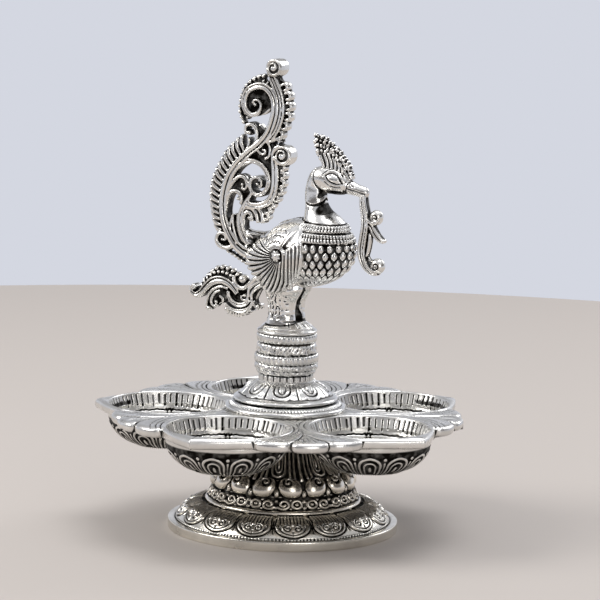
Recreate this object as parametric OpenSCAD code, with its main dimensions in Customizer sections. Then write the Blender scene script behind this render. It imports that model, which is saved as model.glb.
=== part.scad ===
// Footed five-cup oil lamp tray with a bird finial, in millimetres.
// +Z is up, the base stands on Z = 0 on the stem's axis, and the bird faces +X.

/* [Base] */
// radius of the base rim
base_radius = 40; // [38:0.5:43]
// height of the plain base rim
base_rim_height = 3.4; // [2.6:0.1:4.2]
// rise of the medallion dome above the rim
dome_height = 6; // [5:0.2:7]
// width of the medallion dome, from the rim in to its crest
dome_width = 10; // [9:0.2:11]
// width of the ledge between the dome's crest and the bell
ledge_width = 3.3; // [2.6:0.1:4]
// wall of the hollow base casting
base_wall = 2.4; // [1.8:0.1:2.8]

/* [Bell] */
// height of the bell from its seat to the tray
bell_height = 28.8; // [27:0.2:32]
// radius of the bell's waist under the tray
bell_waist_radius = 14.6; // [13:0.1:16]
// wall of the hollow bell casting
bell_wall = 2.2; // [1.6:0.1:2.6]

/* [Tray] */
// width of plate beyond each well, out to its pointed tip
tip_border = 6.6; // [5.6:0.2:9]
// how far the scalloped lobes fall short of the tips
lobe_drop = 5.2; // [4:0.1:6.4]
// thickness of the tray plate at its edge
tray_thickness = 3.8; // [3:0.1:5]
// radius of the circle that the cups stand on
cup_circle_radius = 41.5; // [39:0.5:45]
// radius of each well in the tray
well_radius = 19.4; // [18:0.1:20.4]
// how much wider each well is at the top of the plate
well_flare = 1.2; // [0.6:0.1:1.4]

/* [Oil cups] */
// depth of a cup under the plate
cup_depth = 11.2; // [9:0.2:13]
// wall of a cup
cup_wall = 1.8; // [1.2:0.1:2.2]

/* [Collar and stem] */
// gap between the plain disc and the wells around it
disc_margin = 1.3; // [0.8:0.1:2]
// height of the plain disc
disc_height = 3.2; // [2.6:0.1:4]
// step from the plain disc in to the lotus collar's skirt
lotus_step = 2.6; // [2.2:0.1:3.4]
// height of the lotus collar
lotus_height = 6.4; // [5.6:0.2:8]
// outer radius of the stem rings
stem_ring_radius = 10.9; // [10.4:0.1:11.6]
// height of the lower stem
stem_height = 13.7; // [13:0.1:15]

/* [Tie stud] */
// diameter of the tie stud
stud_diameter = 6; // [5:0.5:7]
// length of stud inside the bird's plinth
thread_engagement = 4.5; // [3.5:0.5:4.5]
// radial gap between the stud and the cast pieces it passes
stud_gap = 0.3; // [0.2:0.05:0.5]
// radial running clearance in the bird's thread
running_clearance = 0.05; // [0.03:0.01:0.08]
// thickness of the washer between the stem and the bird
seat_washer_thickness = 0.6; // [0.4:0.1:1]

/* [Bird] */
// outer radius of the plinth rings
plinth_radius = 10.4; // [10.2:0.1:11]
// height of the plinth
plinth_height = 5; // [5:0.1:6]
// height of the bird from the plinth to the top of its plume
bird_height = 92.6; // [84:0.2:102]
// thickness of the upper tail plume
plume_thickness = 6; // [5:0.2:7]
// thickness of the lower tail plume
lower_plume_thickness = 5.4; // [4.6:0.2:6]
// thickness of the sprig in the beak
sprig_thickness = 4.2; // [3.6:0.2:6]

/* [Hidden] */
$fn = 72;
eps = 0.02;
cups = 5;
cup_step = 360 / cups;
first_cup_angle = -90;

// heights of the stack, from the table up
rim_z = base_rim_height;
crest_z = rim_z + dome_height;
seat_z = crest_z;
plate_z = seat_z + bell_height;
tray_z = plate_z + tray_thickness;
lotus_z = tray_z + disc_height;
stem_z = lotus_z + lotus_height;
washer_z = stem_z + stem_height;
plinth_z = washer_z + seat_washer_thickness;
perch_z = plinth_z + plinth_height;

// tie stud, its hole, and the hub it pulls on
stud_r = stud_diameter / 2;
hole_r = stud_r + stud_gap;
hub_top = seat_z + 9.1;
hub_wall = base_wall;
tie_washer_thickness = 1.2;
nut_height = 4;
nut_corner_r = stud_diameter * 0.96;
hub_under = hub_top - hub_wall;
nut_z = hub_under - tie_washer_thickness - nut_height;
stud_low = nut_z - 0.6;
stud_top = plinth_z + thread_engagement;

// base, bell, tray and collar radii
dome_r = base_radius - 2.6;
crest_r = base_radius - dome_width;
bell_flange_radius = crest_r - ledge_width;
petals = 16;
petal_rise = 0.6;
tray_tip_radius = cup_circle_radius + well_radius + tip_border;
tray_lobe_radius = tray_tip_radius - lobe_drop;
disc_radius = cup_circle_radius - well_radius - disc_margin;
lotus_radius = disc_radius - lotus_step;
spigot_r = bell_flange_radius - 5;
spigot_gap = 0.3;
bell_in_r = spigot_r + spigot_gap;

// the bird is drawn 92.6 high on a perch at height 71, and scaled to the size asked for
bird_scale = bird_height / 92.6;
plume_depth = plume_thickness / bird_scale;
lower_plume_depth = lower_plume_thickness / bird_scale;
sprig_depth = sprig_thickness / bird_scale;
wing_sweep = [58, 152];
limb_fill = 0.96;

silver = [0.78, 0.77, 0.74];
bright = [0.86, 0.85, 0.82];
dark_silver = [0.6, 0.59, 0.56];
steel = [0.7, 0.71, 0.73];
fibre = [0.16, 0.13, 0.1];

// one point of a smooth curve through hand-picked points, with the width as third value
function curve_point(a, b, c, d, t) =
    0.5 * (2 * b + (c - a) * t + (2 * a - 5 * b + 4 * c - d) * t * t + (3 * b - a - 3 * c + d) * t * t * t);
function pick(p, i) = p[max(0, min(len(p) - 1, i))];
function smooth_line(p, n = 3) = concat(
    [for (i = [0 : len(p) - 2], j = [0 : n - 1])
        curve_point(pick(p, i - 1), pick(p, i), pick(p, i + 1), pick(p, i + 2), j / n)],
    [p[len(p) - 1]]);
function heading(q, i) = pick(q, i + 1) - pick(q, i - 1);
function side_point(q, i, s) =
    let (h = heading(q, i), l = norm([h[0], h[1]]))
    [q[i][0] - s * h[1] / l * q[i][2] / 2, q[i][1] + s * h[0] / l * q[i][2] / 2];
function band(q) = concat(
    [for (i = [0 : len(q) - 1]) side_point(q, i, 1)],
    [for (i = [len(q) - 1 : -1 : 0]) side_point(q, i, -1)]);

// flat strand of a scroll, standing in the bird's middle plane
module strand(p, depth) {
    rotate([90, 0, 0])
        linear_extrude(depth, center = true)
            polygon(band(smooth_line(p)));
}

// rolled end of a scroll, a short roller across the middle plane
module roll(x, z, r, depth) {
    translate([x, 0, z])
        rotate([90, 0, 0])
            cylinder(h = depth, r = r, center = true);
}

// round limb through [x, z, radius] points in the middle plane
module limb(p) {
    for (q = p)
        translate([q[0], 0, q[1]])
            sphere(r = q[2]);
    for (i = [0 : len(p) - 2])
        translate([p[i][0], 0, p[i][1]])
            rotate([0, atan2(p[i + 1][0] - p[i][0], p[i + 1][1] - p[i][1]), 0])
                cylinder(h = norm([p[i + 1][0] - p[i][0], p[i + 1][1] - p[i][1]]),
                    r1 = p[i][2] * limb_fill, r2 = p[i + 1][2] * limb_fill);
}

module ring(z, major, minor) {
    translate([0, 0, z])
        rotate_extrude()
            translate([major, 0])
                circle(r = minor);
}

// outer line of the dome, from the rim up to its crest, lifted by a height
function dome_line(lift) = [
    [dome_r - 0.5, rim_z + dome_height * 0.12 + lift], [dome_r - 1.6, rim_z + dome_height * 0.37 + lift],
    [dome_r - 3.2, rim_z + dome_height * 0.62 + lift], [crest_r + 2.2, rim_z + dome_height * 0.83 + lift],
    [crest_r + 0.2, rim_z + dome_height * 0.95 + lift]];
function turned_back(p) = [for (i = [len(p) - 1 : -1 : 0]) p[i]];

// hollow domed foot with a raised hub that the tie stud pulls on
module foot_shell() {
    rotate_extrude()
        polygon(concat(
            [[base_radius - 3.4, 0], [base_radius - 0.5, 0], [base_radius, 0.5],
                [base_radius, rim_z - 0.5], [base_radius - 0.5, rim_z], [dome_r, rim_z]],
            dome_line(0),
            [[crest_r - 1.6, crest_z], [spigot_r, seat_z], [spigot_r, seat_z + 2],
                [spigot_r - 2, seat_z + 3], [hole_r + 10, hub_top], [hole_r, hub_top],
                [hole_r, hub_under], [hole_r + 9, hub_under],
                [spigot_r - 2 - base_wall, seat_z + 0.6], [spigot_r - 1.2 - base_wall, seat_z - base_wall],
                [crest_r - base_wall, seat_z - base_wall],
                [dome_r - 2.7 - base_wall, rim_z + dome_height * 0.54],
                [dome_r - 0.9 - base_wall, rim_z]]));
}

// ring of rounded petals that stand up from the dome
module foot_petals() {
    wide = dome_r * sin(180 / petals) - 1.3;
    intersection() {
        rotate_extrude()
            polygon(concat(dome_line(petal_rise), turned_back(dome_line(-0.6))));
        for (k = [0 : petals - 1])
            rotate([0, 0, (k + 0.5) * 360 / petals])
                linear_extrude(seat_z + 4)
                    polygon([[crest_r + 0.5, -wide * 0.72], [dome_r - 3, -wide * 0.9], [dome_r - 0.8, -wide * 0.4],
                        [dome_r - 0.8, wide * 0.4], [dome_r - 3, wide * 0.9], [crest_r + 0.5, wide * 0.72]]);
    }
}

module pedestal_foot() {
    color(silver)
        union() {
            foot_shell();
            foot_petals();
        }
}

// hollow bell between the foot and the tray
module pedestal_bell() {
    h = bell_height;
    f = bell_flange_radius;
    w = bell_waist_radius;
    color(dark_silver)
        translate([0, 0, seat_z])
            rotate_extrude()
                polygon([
                    [bell_in_r, 0], [f, 0], [f, 1.6], [f - 0.7, 2], [f - 1.9, h * 0.16],
                    [f - 2.5, h * 0.21], [f - 3.2, h * 0.28], [f - 4.4, h * 0.36], [f - 6.2, h * 0.43],
                    [w + 4.2, h * 0.47], [w + 2.6, h * 0.56], [w + 1.3, h * 0.67], [w + 0.4, h * 0.79],
                    [w, h * 0.9], [w + 0.6, h], [hole_r, h], [hole_r, h - 2.6], [w - bell_wall, h - 2.6],
                    [w - bell_wall, h * 0.8], [w + 1 - bell_wall, h * 0.67], [w + 2.2 - bell_wall, h * 0.56],
                    [w + 3.6 - bell_wall, h * 0.46], [f - 6.8 - bell_wall, h * 0.42],
                    [bell_in_r - 0.6, h * 0.27], [bell_in_r, h * 0.2]]);
}

// half outline of one fifth of the tray, as [angle from the cup, radius]
function petal_edge(t, l) = [[0, t], [17.6, l - 4.4], [19, l - 2.3], [22, l - 1.3], [25.5, l - 1],
    [28.4, l - 1.5], [29.8, l - 2.6], [31, l - 1.1], [33.2, l - 0.2], [36, l]];
function fifth_edge(e) = concat(e, [for (i = [len(e) - 2 : -1 : 1]) [cup_step - e[i][0], e[i][1]]]);

// groove along part of a circle, open at the top of the plate
module groove(radius, from, to) {
    rotate([0, 0, from])
        rotate_extrude(angle = to - from)
            translate([radius - 0.4, -0.6])
                square([0.8, 1.2]);
}

// the two lines that part the border of a well, the scallop beside it and the lobe
module lobe_lines() {
    translate([cup_circle_radius, 0, tray_thickness])
        groove(well_radius + 2.9, 66, 152);
    translate([cup_circle_radius + 10.6, -5.3, tray_thickness])
        groove(well_radius + 15.6, 92.5, 106);
}

// well through the plate, wider at the top
module well_form() {
    rotate_extrude()
        polygon([[0, -1], [well_radius, -1], [well_radius, 0], [well_radius + well_flare, tray_thickness],
            [well_radius + well_flare, tray_thickness + 1], [0, tray_thickness + 1]]);
}

// tray plate with its alternating pointed petals and scalloped lobes
module tray_plate() {
    edge = fifth_edge(petal_edge(tray_tip_radius, tray_lobe_radius));
    outline = [for (k = [0 : cups - 1], e = edge)
        let (a = first_cup_angle + k * cup_step + e[0]) [e[1] * cos(a), e[1] * sin(a)]];
    color(bright)
        translate([0, 0, plate_z])
            difference() {
                linear_extrude(tray_thickness)
                    polygon(outline);
                for (k = [0 : cups - 1])
                    rotate([0, 0, first_cup_angle + k * cup_step])
                        translate([cup_circle_radius, 0, 0])
                            well_form();
                for (k = [0 : cups - 1], s = [0, 1])
                    rotate([0, 0, first_cup_angle + k * cup_step])
                        mirror([0, s, 0])
                            lobe_lines();
                for (k = [0 : cups - 1])
                    rotate([0, 0, first_cup_angle + (k + 0.5) * cup_step])
                        translate([cup_circle_radius - 14, -0.4, tray_thickness - 0.6])
                            cube([18, 0.8, 1.2]);
                translate([0, 0, -1])
                    cylinder(h = tray_thickness + 2, r = hole_r);
            }
}

// bowl soldered under one well of the tray
module oil_cup(k) {
    r = well_radius + 1.5;
    d = cup_depth;
    w = cup_wall;
    color(silver)
        rotate([0, 0, first_cup_angle + (k - 1) * cup_step])
            translate([cup_circle_radius, 0, plate_z])
                rotate_extrude()
                    polygon([
                        [0, -d], [r * 0.3, -d], [r * 0.52, -d * 0.95], [r * 0.7, -d * 0.83],
                        [r * 0.85, -d * 0.63], [r * 0.95, -d * 0.38], [r * 0.995, -d * 0.15], [r, 0],
                        [well_radius, 0], [well_radius - 0.3, -d * 0.14],
                        [r * 0.95 - w, -d * 0.36 + w * 0.2], [r * 0.85 - w * 0.9, -d * 0.63 + w * 0.6],
                        [r * 0.7 - w * 0.7, -d * 0.83 + w * 0.8], [r * 0.5 - w * 0.5, -d * 0.95 + w],
                        [0, -d + w]]);
}

module oil_cup_1() {
    oil_cup(1);
}

module oil_cup_2() {
    oil_cup(2);
}

module oil_cup_3() {
    oil_cup(3);
}

module oil_cup_4() {
    oil_cup(4);
}

module oil_cup_5() {
    oil_cup(5);
}

// plain disc on the tray
module collar_disc() {
    h = disc_height;
    color(bright)
        translate([0, 0, tray_z])
            rotate_extrude()
                polygon([
                    [hole_r, 0], [disc_radius, 0], [disc_radius, h * 0.4], [disc_radius - 0.7, h * 0.62],
                    [disc_radius - 2, h * 0.7], [disc_radius - 2.2, h], [hole_r, h]]);
}

// lotus collar with its skirt
module lotus_collar() {
    h = lotus_height;
    l = lotus_radius;
    color(silver)
        translate([0, 0, lotus_z])
            rotate_extrude()
                polygon([
                    [hole_r, 0], [l - 0.7, 0], [l, 0.6], [l, 1.1], [l - 0.9, 1.7], [l - 2.8, 2.1],
                    [l - 3.4, h * 0.5], [l - 4.6, h * 0.74], [l - 6.6, h * 0.92], [l - 8.6, h], [hole_r, h]]);
}

// lower half of the ringed stem, screwed on the tie stud
module stem_lower() {
    h = stem_height;
    color(silver)
        translate([0, 0, stem_z])
            difference() {
                union() {
                    cylinder(h = h, r = stem_ring_radius - 2.2);
                    translate([0, 0, 0.4])
                        cylinder(h = 2.8, r = stem_ring_radius - 1.6);
                    ring(5.5, stem_ring_radius - 1.5, 1.5);
                    ring(8.6, stem_ring_radius - 1.5, 1.5);
                    ring(h - 1.5, stem_ring_radius - 2, 1.4);
                }
                translate([0, 0, -1])
                    cylinder(h = h + 2, r = stud_r);
            }
}

// steel stud through the whole stack
module tie_stud() {
    color(steel)
        translate([0, 0, stud_low])
            cylinder(h = stud_top - stud_low, r = stud_r);
}

module tie_washer() {
    color(steel)
        translate([0, 0, hub_under - tie_washer_thickness])
            difference() {
                cylinder(h = tie_washer_thickness, r = stud_r * 2.2);
                translate([0, 0, -1])
                    cylinder(h = tie_washer_thickness + 2, r = hole_r);
            }
}

module tie_nut() {
    color(steel)
        translate([0, 0, nut_z])
            difference() {
                linear_extrude(nut_height)
                    polygon([for (i = [0 : 5]) [nut_corner_r * cos(60 * i), nut_corner_r * sin(60 * i)]]);
                translate([0, 0, -1])
                    cylinder(h = nut_height + 2, r = stud_r);
            }
}

// thin fibre washer in the dark line between the two halves of the stem
module seat_washer() {
    color(fibre)
        translate([0, 0, washer_z])
            difference() {
                cylinder(h = seat_washer_thickness, r = stem_ring_radius - 2.5);
                translate([0, 0, -1])
                    cylinder(h = seat_washer_thickness + 2, r = stud_r + running_clearance);
            }
}

// ringed plinth that screws down on the stud
module bird_plinth() {
    h = plinth_height;
    color(silver)
        translate([0, 0, plinth_z])
            difference() {
                union() {
                    cylinder(h = h, r = plinth_radius - 1.6);
                    ring(1.4, plinth_radius - 1.5, 1.4);
                    ring(h - 1.4, plinth_radius - 1.4, 1.4);
                    translate([0, 0, h])
                        cylinder(h = 1.8, r1 = stud_r + 2, r2 = stud_r + 0.4);
                }
                translate([0, 0, -1])
                    cylinder(h = thread_engagement + 1.4, r = stud_r + running_clearance);
            }
}

// places the bird's forms on the perch
module on_perch() {
    translate([0, 0, perch_z])
        scale(bird_scale)
            translate([0, 0, -71])
                children();
}

// half profile of the bird's trunk, as [radius, distance along it]
trunk = [[0, -19.6], [2.4, -19.2], [4.6, -17.8], [6.8, -15.2], [8.9, -11.8], [10.6, -7.6], [11.7, -3],
    [12.1, 2], [11.8, 6.8], [10.7, 11], [8.9, 14.4], [6.6, 17], [3.8, 18.9], [0, 19.6]];

module along_trunk() {
    translate([5.5, 0, 97])
        rotate([0, 78, 0])
            children();
}

module torso_form() {
    along_trunk()
        rotate_extrude()
            polygon(trunk);
}

module neck_form() {
    limb([[12, 106, 7], [11.4, 109.5, 5.6], [10.4, 113.5, 4.3], [9.9, 117.5, 3.6], [10, 121, 3.7],
        [11.6, 123.7, 4.3], [15.7, 123, 4.4], [19.6, 122, 3.7]]);
}

module beak_form() {
    limb([[20, 121.9, 3.3], [23, 121.1, 2.5], [28.2, 119.8, 1.8]]);
}

module wing_form(side) {
    mirror([0, side > 0 ? 0 : 1, 0])
        along_trunk()
            rotate([0, 0, wing_sweep[0]])
                rotate_extrude(angle = wing_sweep[1] - wing_sweep[0])
                    polygon([[6.8, -15.2], [8.9, -11.8], [10.6, -7.6], [11.7, -3], [12.1, 2], [11.8, 6.8],
                        [13.1, 5.4], [13.5, 1], [13.1, -3], [12, -7.6], [10.3, -11.8], [8.4, -15.8], [6.6, -17]]);
}

// stout oval leg on its half of the mound, parted from the other leg at the middle plane
module leg_form(side) {
    intersection() {
        union() {
            for (x = [-1.9, 1.1])
                translate([x, side * 3.6, 71])
                    rotate_extrude()
                        polygon([[0, 0], [4.5, 0], [4.4, 2.4], [4.1, 5.8], [4.2, 9], [4.6, 12], [5, 14],
                            [4.8, 16], [0, 17]]);
            translate([0, 0, 71])
                rotate_extrude()
                    polygon([[0, 0], [8.9, 0], [8.6, 0.4], [6.4, 2], [0, 2.6]]);
        }
        translate([-20, side > 0 ? 0.1 : -20.1, 70])
            cube([40, 20, 20]);
    }
}

module leg_solid(side) {
    color(silver)
        on_perch()
            difference() {
                leg_form(side);
                torso_form();
                translate([0, 0, 70])
                    cylinder(h = 1 + 1.8 / bird_scale, r = (stud_r + 2.1) / bird_scale);
            }
}

module bird_leg_left() {
    leg_solid(1);
}

module bird_leg_right() {
    leg_solid(-1);
}

// trunk, neck, head and bill
module bird_body() {
    color(silver)
        on_perch()
            union() {
                torso_form();
                neck_form();
                beak_form();
            }
}

module bird_wing_left() {
    color(dark_silver)
        on_perch()
            wing_form(1);
}

module bird_wing_right() {
    color(dark_silver)
        on_perch()
            wing_form(-1);
}

// comb of feathers on the head
module head_crest() {
    color(dark_silver)
        on_perch()
            difference() {
                rotate([90, 0, 0])
                    linear_extrude(2.4, center = true)
                        polygon([[11.2, 125], [11.6, 129.5], [10.4, 133], [9.6, 136.4], [10.2, 139], [12.4, 138.2],
                            [16.3, 136.2], [19, 133.5], [21.5, 131.2], [23.5, 128.3], [25, 124.8], [23.2, 123.8],
                            [18, 122]]);
                neck_form();
                beak_form();
            }
}

// openwork plume that rises from the back of the bird
module tail_plume_upper() {
    t = plume_depth;
    color(bright)
        on_perch()
            difference() {
                union() {
                    // main stem, which ends in the big spiral
                    strand([[-10, 94.5, 4.6], [-15, 96, 4.4], [-20, 98.8, 3.8], [-23.8, 103.6, 3.4],
                        [-25.8, 110, 3.2], [-25.6, 117, 3.2], [-22.8, 123.5, 3.2], [-18.5, 128.5, 3.2],
                        [-13.5, 132, 3.4], [-9, 136, 3.2], [-6.6, 141, 3], [-5.5, 146, 3], [-6.6, 150.4, 2.8],
                        [-9.6, 153, 2.8], [-13, 153.4, 2.6], [-16.2, 151.2, 2.4], [-17.2, 147.5, 2.2],
                        [-15.6, 144.6, 2], [-12.9, 144.4, 1.8], [-11.4, 146.4, 1.7], [-13, 147.6, 1.5]], t);
                    roll(-13.4, 147.4, 1.3, t + 0.4);
                    // outer strand up to the top scroll
                    strand([[-9, 134.4, 2.4], [-5.2, 139.4, 2.2], [-3.8, 143.5, 2.2], [-3.4, 147.5, 2.2],
                        [-4.4, 151, 2.2], [-6.6, 154, 2.4], [-8.2, 157, 2.4], [-8.4, 159.6, 2]], t - 0.4);
                    roll(-6.2, 160.6, 3, t + 1.6);
                    for (b = [[-4, 153.8], [-2.6, 150.8], [-2, 147.4], [-2.4, 144], [-3.4, 140.6], [-5.2, 137.4]])
                        roll(b[0], b[1], 1.7, t - 0.8);
                    // leaves along the outer edge of the main stem
                    for (b = [[-25.6, 103.4], [-27, 106.2], [-27.8, 109.2], [-28.2, 112.2], [-28.2, 115.2],
                        [-27.6, 118.2], [-26.4, 121.2], [-24.8, 124], [-22.8, 126.8], [-20.6, 129.2], [-18, 131.4]])
                        roll(b[0], b[1], 1.9, t - 2);
                    // small curl under the big spiral
                    strand([[-15.2, 130.6, 2.2], [-12.9, 135, 1.9], [-12.9, 138.2, 1.9], [-14.6, 140.2, 1.8],
                        [-16.4, 139.4, 1.6], [-16.2, 137.8, 1.4]], t - 0.6);
                    roll(-15.7, 137.6, 1.1, t);
                    // lower arch up to the middle scroll
                    strand([[-11, 97.5, 3], [-15, 99, 2.8], [-17.8, 103.4, 2.6], [-18.2, 108, 2.4],
                        [-16.4, 111.2, 2.4], [-13, 113, 2.4], [-9, 114.5, 2.3], [-6.6, 117.2, 2.3],
                        [-5.6, 121, 2.3], [-5.8, 125.5, 2.3], [-5.6, 129.6, 2.2]], t - 0.3);
                    roll(-3, 130, 3.2, t + 0.8);
                    for (b = [[-3.6, 125.6], [-3.4, 122.8], [-3.6, 120], [-4.4, 117.2], [-6, 114.8], [-8, 112.6],
                        [-9.8, 110.8]])
                        roll(b[0], b[1], 1.6, t - 0.9);
                    // hanging curl of the lower arch
                    strand([[-17.6, 109, 2.6], [-14.6, 110.6, 2.8], [-12, 109.6, 2.8], [-11.2, 107.4, 2.4]], t - 0.7);
                    // inner arch with its spiral
                    strand([[-21.2, 124.6, 2], [-17.6, 127.2, 1.9], [-14, 128, 1.9], [-10.6, 127, 1.9],
                        [-8.6, 124.6, 1.9], [-8, 121.6, 1.8], [-9, 119, 1.7], [-11.4, 117.4, 1.7], [-13.6, 117.6, 1.6],
                        [-14.8, 119.6, 1.6], [-14.2, 121.8, 1.5], [-12.6, 122, 1.4]], t - 0.5);
                    roll(-12.5, 121, 1.2, t - 0.2);
                    // two inner hooks on the left
                    strand([[-24.6, 115, 2], [-23, 119.2, 1.8], [-21, 121.8, 1.7], [-18.9, 122.8, 1.6],
                        [-17, 121.8, 1.5], [-17, 120, 1.4]], t - 0.6);
                    roll(-18, 120.2, 1.2, t - 0.1);
                    strand([[-24.8, 112, 2], [-22.8, 116, 1.8], [-20.4, 117, 1.8], [-18.4, 115.8, 1.8],
                        [-17.4, 113.6, 1.8], [-16.4, 111.4, 1.8]], t - 0.8);
                    // flame beside the stem and the ball scroll at its foot
                    strand([[-16.5, 97.5, 2.2], [-19.8, 101.6, 2.2], [-21.2, 105.6, 2], [-21.4, 109.6, 1]], t - 1);
                    strand([[-19.6, 98.8, 2.4], [-22.4, 97.4, 2.2], [-25, 97.2, 2]], t - 1.1);
                    roll(-25.2, 98.9, 2.5, t - 0.2);
                }
                torso_form();
            }
}

// lower plume under the tail
module tail_plume_lower() {
    t = lower_plume_depth;
    color(bright)
        on_perch()
            difference() {
                union() {
                    strand([[-5, 90, 3.2], [-9.8, 87.4, 3], [-13.6, 84.9, 2.6], [-17, 83, 2.4], [-19.8, 83.8, 2.4],
                        [-22, 85.4, 2.6], [-25.2, 86, 2.8], [-28.2, 85.2, 2.8], [-31, 82.8, 2.8], [-33.2, 80.4, 2.6],
                        [-35.2, 79.6, 2.2]], t);
                    roll(-35.6, 81, 2, t + 0.4);
                    strand([[-31.6, 84.4, 2.4], [-28.6, 87.2, 2.4], [-25, 88.2, 2.4], [-21.6, 87.6, 2.2],
                        [-19.6, 85.4, 2]], t - 0.5);
                    for (b = [[-33, 84.6], [-31.2, 86.6], [-29, 88.4], [-26.4, 89.4], [-23.6, 89.6], [-21, 88.8]])
                        roll(b[0], b[1], 1.4, t - 0.9);
                    strand([[-22.6, 84, 2.2], [-26.4, 82.6, 2], [-29, 80.6, 2], [-30.6, 78, 2], [-30.8, 75.4, 1.8]], t - 0.4);
                    strand([[-28.6, 81, 1.8], [-28.8, 78.6, 1.7], [-28.2, 76.8, 1.6], [-26.8, 76.6, 1.4]], t - 0.8);
                    strand([[-20.8, 83.6, 2.2], [-21, 80.2, 2], [-19, 78.2, 2], [-16.4, 78.2, 2], [-14.6, 80, 2],
                        [-14.8, 82, 1.8], [-16.4, 83, 1.8]], t - 0.6);
                    strand([[-23.4, 76.4, 2], [-20.8, 76, 2], [-18, 75.6, 2], [-15.2, 76.6, 2], [-13, 78.8, 2],
                        [-12.2, 82, 2.2], [-11, 85, 2.4], [-7, 88.6, 2.6]], t - 0.3);
                    strand([[-21.4, 79.4, 1.8], [-19.6, 77.2, 1.8], [-17, 76.4, 1.8]], t - 0.7);
                }
                torso_form();
                wing_form(1);
                wing_form(-1);
            }
}

// scrolled sprig held in the bill
module beak_sprig() {
    t = sprig_depth;
    color(bright)
        on_perch()
            difference() {
                union() {
                    strand([[27.6, 119.6, 2.2], [28.2, 115.6, 2.3], [29.3, 112.4, 2.5], [29.3, 108.5, 2.5],
                        [28.7, 104, 2.5], [28.5, 100, 2.5], [29.3, 97, 2.4], [31.6, 94.2, 2.2]], t);
                    roll(33.6, 95.2, 2.5, t + 0.4);
                    roll(32.9, 112, 2.3, t + 0.3);
                    strand([[29, 114, 1.6], [30.4, 111, 1.6], [33, 110.8, 1.6]], t - 0.4);
                    strand([[30.6, 111, 2], [33, 108.4, 1.9], [34.6, 106.2, 1.7], [36.2, 105, 1.2]], t - 0.6);
                }
                beak_form();
                neck_form();
            }
}

pedestal_foot();
pedestal_bell();
tray_plate();
oil_cup_1();
oil_cup_2();
oil_cup_3();
oil_cup_4();
oil_cup_5();
collar_disc();
lotus_collar();
stem_lower();
tie_stud();
tie_washer();
tie_nut();
seat_washer();
bird_plinth();
bird_leg_left();
bird_leg_right();
bird_body();
bird_wing_left();
bird_wing_right();
head_crest();
tail_plume_upper();
tail_plume_lower();
beak_sprig();
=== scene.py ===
import math

import bpy
import numpy as np
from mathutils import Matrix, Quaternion, Vector


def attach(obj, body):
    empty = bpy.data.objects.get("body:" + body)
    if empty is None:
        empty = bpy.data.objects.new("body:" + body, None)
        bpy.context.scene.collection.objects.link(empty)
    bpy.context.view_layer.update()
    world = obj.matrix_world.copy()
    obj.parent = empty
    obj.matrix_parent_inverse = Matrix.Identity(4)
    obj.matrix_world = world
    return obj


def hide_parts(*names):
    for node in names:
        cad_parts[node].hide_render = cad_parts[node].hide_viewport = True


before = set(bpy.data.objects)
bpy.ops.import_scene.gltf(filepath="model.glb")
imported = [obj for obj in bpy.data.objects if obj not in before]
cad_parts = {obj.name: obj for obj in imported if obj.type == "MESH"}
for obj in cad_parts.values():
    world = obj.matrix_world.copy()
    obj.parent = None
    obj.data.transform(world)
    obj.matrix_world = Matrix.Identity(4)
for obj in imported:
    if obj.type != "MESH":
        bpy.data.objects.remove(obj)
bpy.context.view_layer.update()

# sizes of the lamp in millimetres, as in the part's source
MM = 0.001
SEAT_Z, PLATE_Z, TRAY_Z = 9.4, 38.2, 42.0
LOTUS_Z, STEM_Z, WASHER_Z, PLINTH_Z = 45.2, 51.6, 65.3, 65.9
CUP_CIRCLE, WELL_R, TIP_R, LOBE_R = 41.5, 19.4, 67.5, 62.3
HOLE_R, STUD_R = 3.3, 3.0
BIRD_SINK = -0.1
CUPS, FIRST_CUP, CUP_TURN = 5, -90, 72
WELL_SLOTS, WELL_FLARE = 60, 1.2
SAME_POINT = 500  # steps in a millimetre, within which points are one


# drawn lines

def smooth_line(points, steps):
    """A smooth curve through given points of any number of values."""
    p = np.array(points, float)
    p = np.vstack([2 * p[0] - p[1], p, 2 * p[-1] - p[-2]])
    t = np.linspace(0, 1, steps, endpoint=False)[:, None]
    runs = [0.5 * (2 * b + (c - a) * t + (2 * a - 5 * b + 4 * c - d) * t**2 + (3 * b - a - 3 * c + d) * t**3)
            for a, b, c, d in zip(p[:-3], p[1:-2], p[2:-1], p[3:])]
    return np.vstack(runs + [p[-2:-1]])


def eased(points, radius, steps=4):
    """A drawn profile with its corners rounded."""
    p = [np.array(q, float) for q in points]
    out = [p[0]]
    for a, b, c in zip(p[:-2], p[1:-1], p[2:]):
        before, after = a - b, c - b
        la, lc = np.linalg.norm(before), np.linalg.norm(after)
        start = b + before / la * min(radius, 0.45 * la)
        end = b + after / lc * min(radius, 0.45 * lc)
        for t in np.linspace(0, 1, steps + 1):
            out.append((1 - t) ** 2 * start + 2 * t * (1 - t) * b + t * t * end)
    return out + [p[-1]]


def walk(points, step):
    """Points along a line no further apart than step."""
    out = [np.array(points[0], float)]
    for a, b in zip(points[:-1], points[1:]):
        a, b = np.array(a, float), np.array(b, float)
        n = max(1, int(math.ceil(np.linalg.norm(b - a) / step - 1e-6)))
        out += [a + (b - a) * (i + 1) / n for i in range(n)]
    return np.array(out)


def run_along(p):
    """How far along a line each of its points lies."""
    return np.concatenate([[0], np.cumsum(np.linalg.norm(np.diff(p, axis=0), axis=1))])


def unit(d, least=1e-9):
    """Directions of length 1."""
    return d / np.maximum(np.linalg.norm(d, axis=1), least)[:, None]


def evenly(points, step):
    """Evenly spaced points along a smooth line."""
    p = np.array(points, float)
    run = run_along(p)
    at = np.linspace(0, run[-1], max(2, int(round(run[-1] / step)) + 1))
    return np.stack([np.interp(at, run, p[:, k]) for k in range(p.shape[1])], 1)


def round_turn(n):
    """The bearings of n points round a full turn."""
    return np.arange(n) * 2 * np.pi / n


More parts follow.
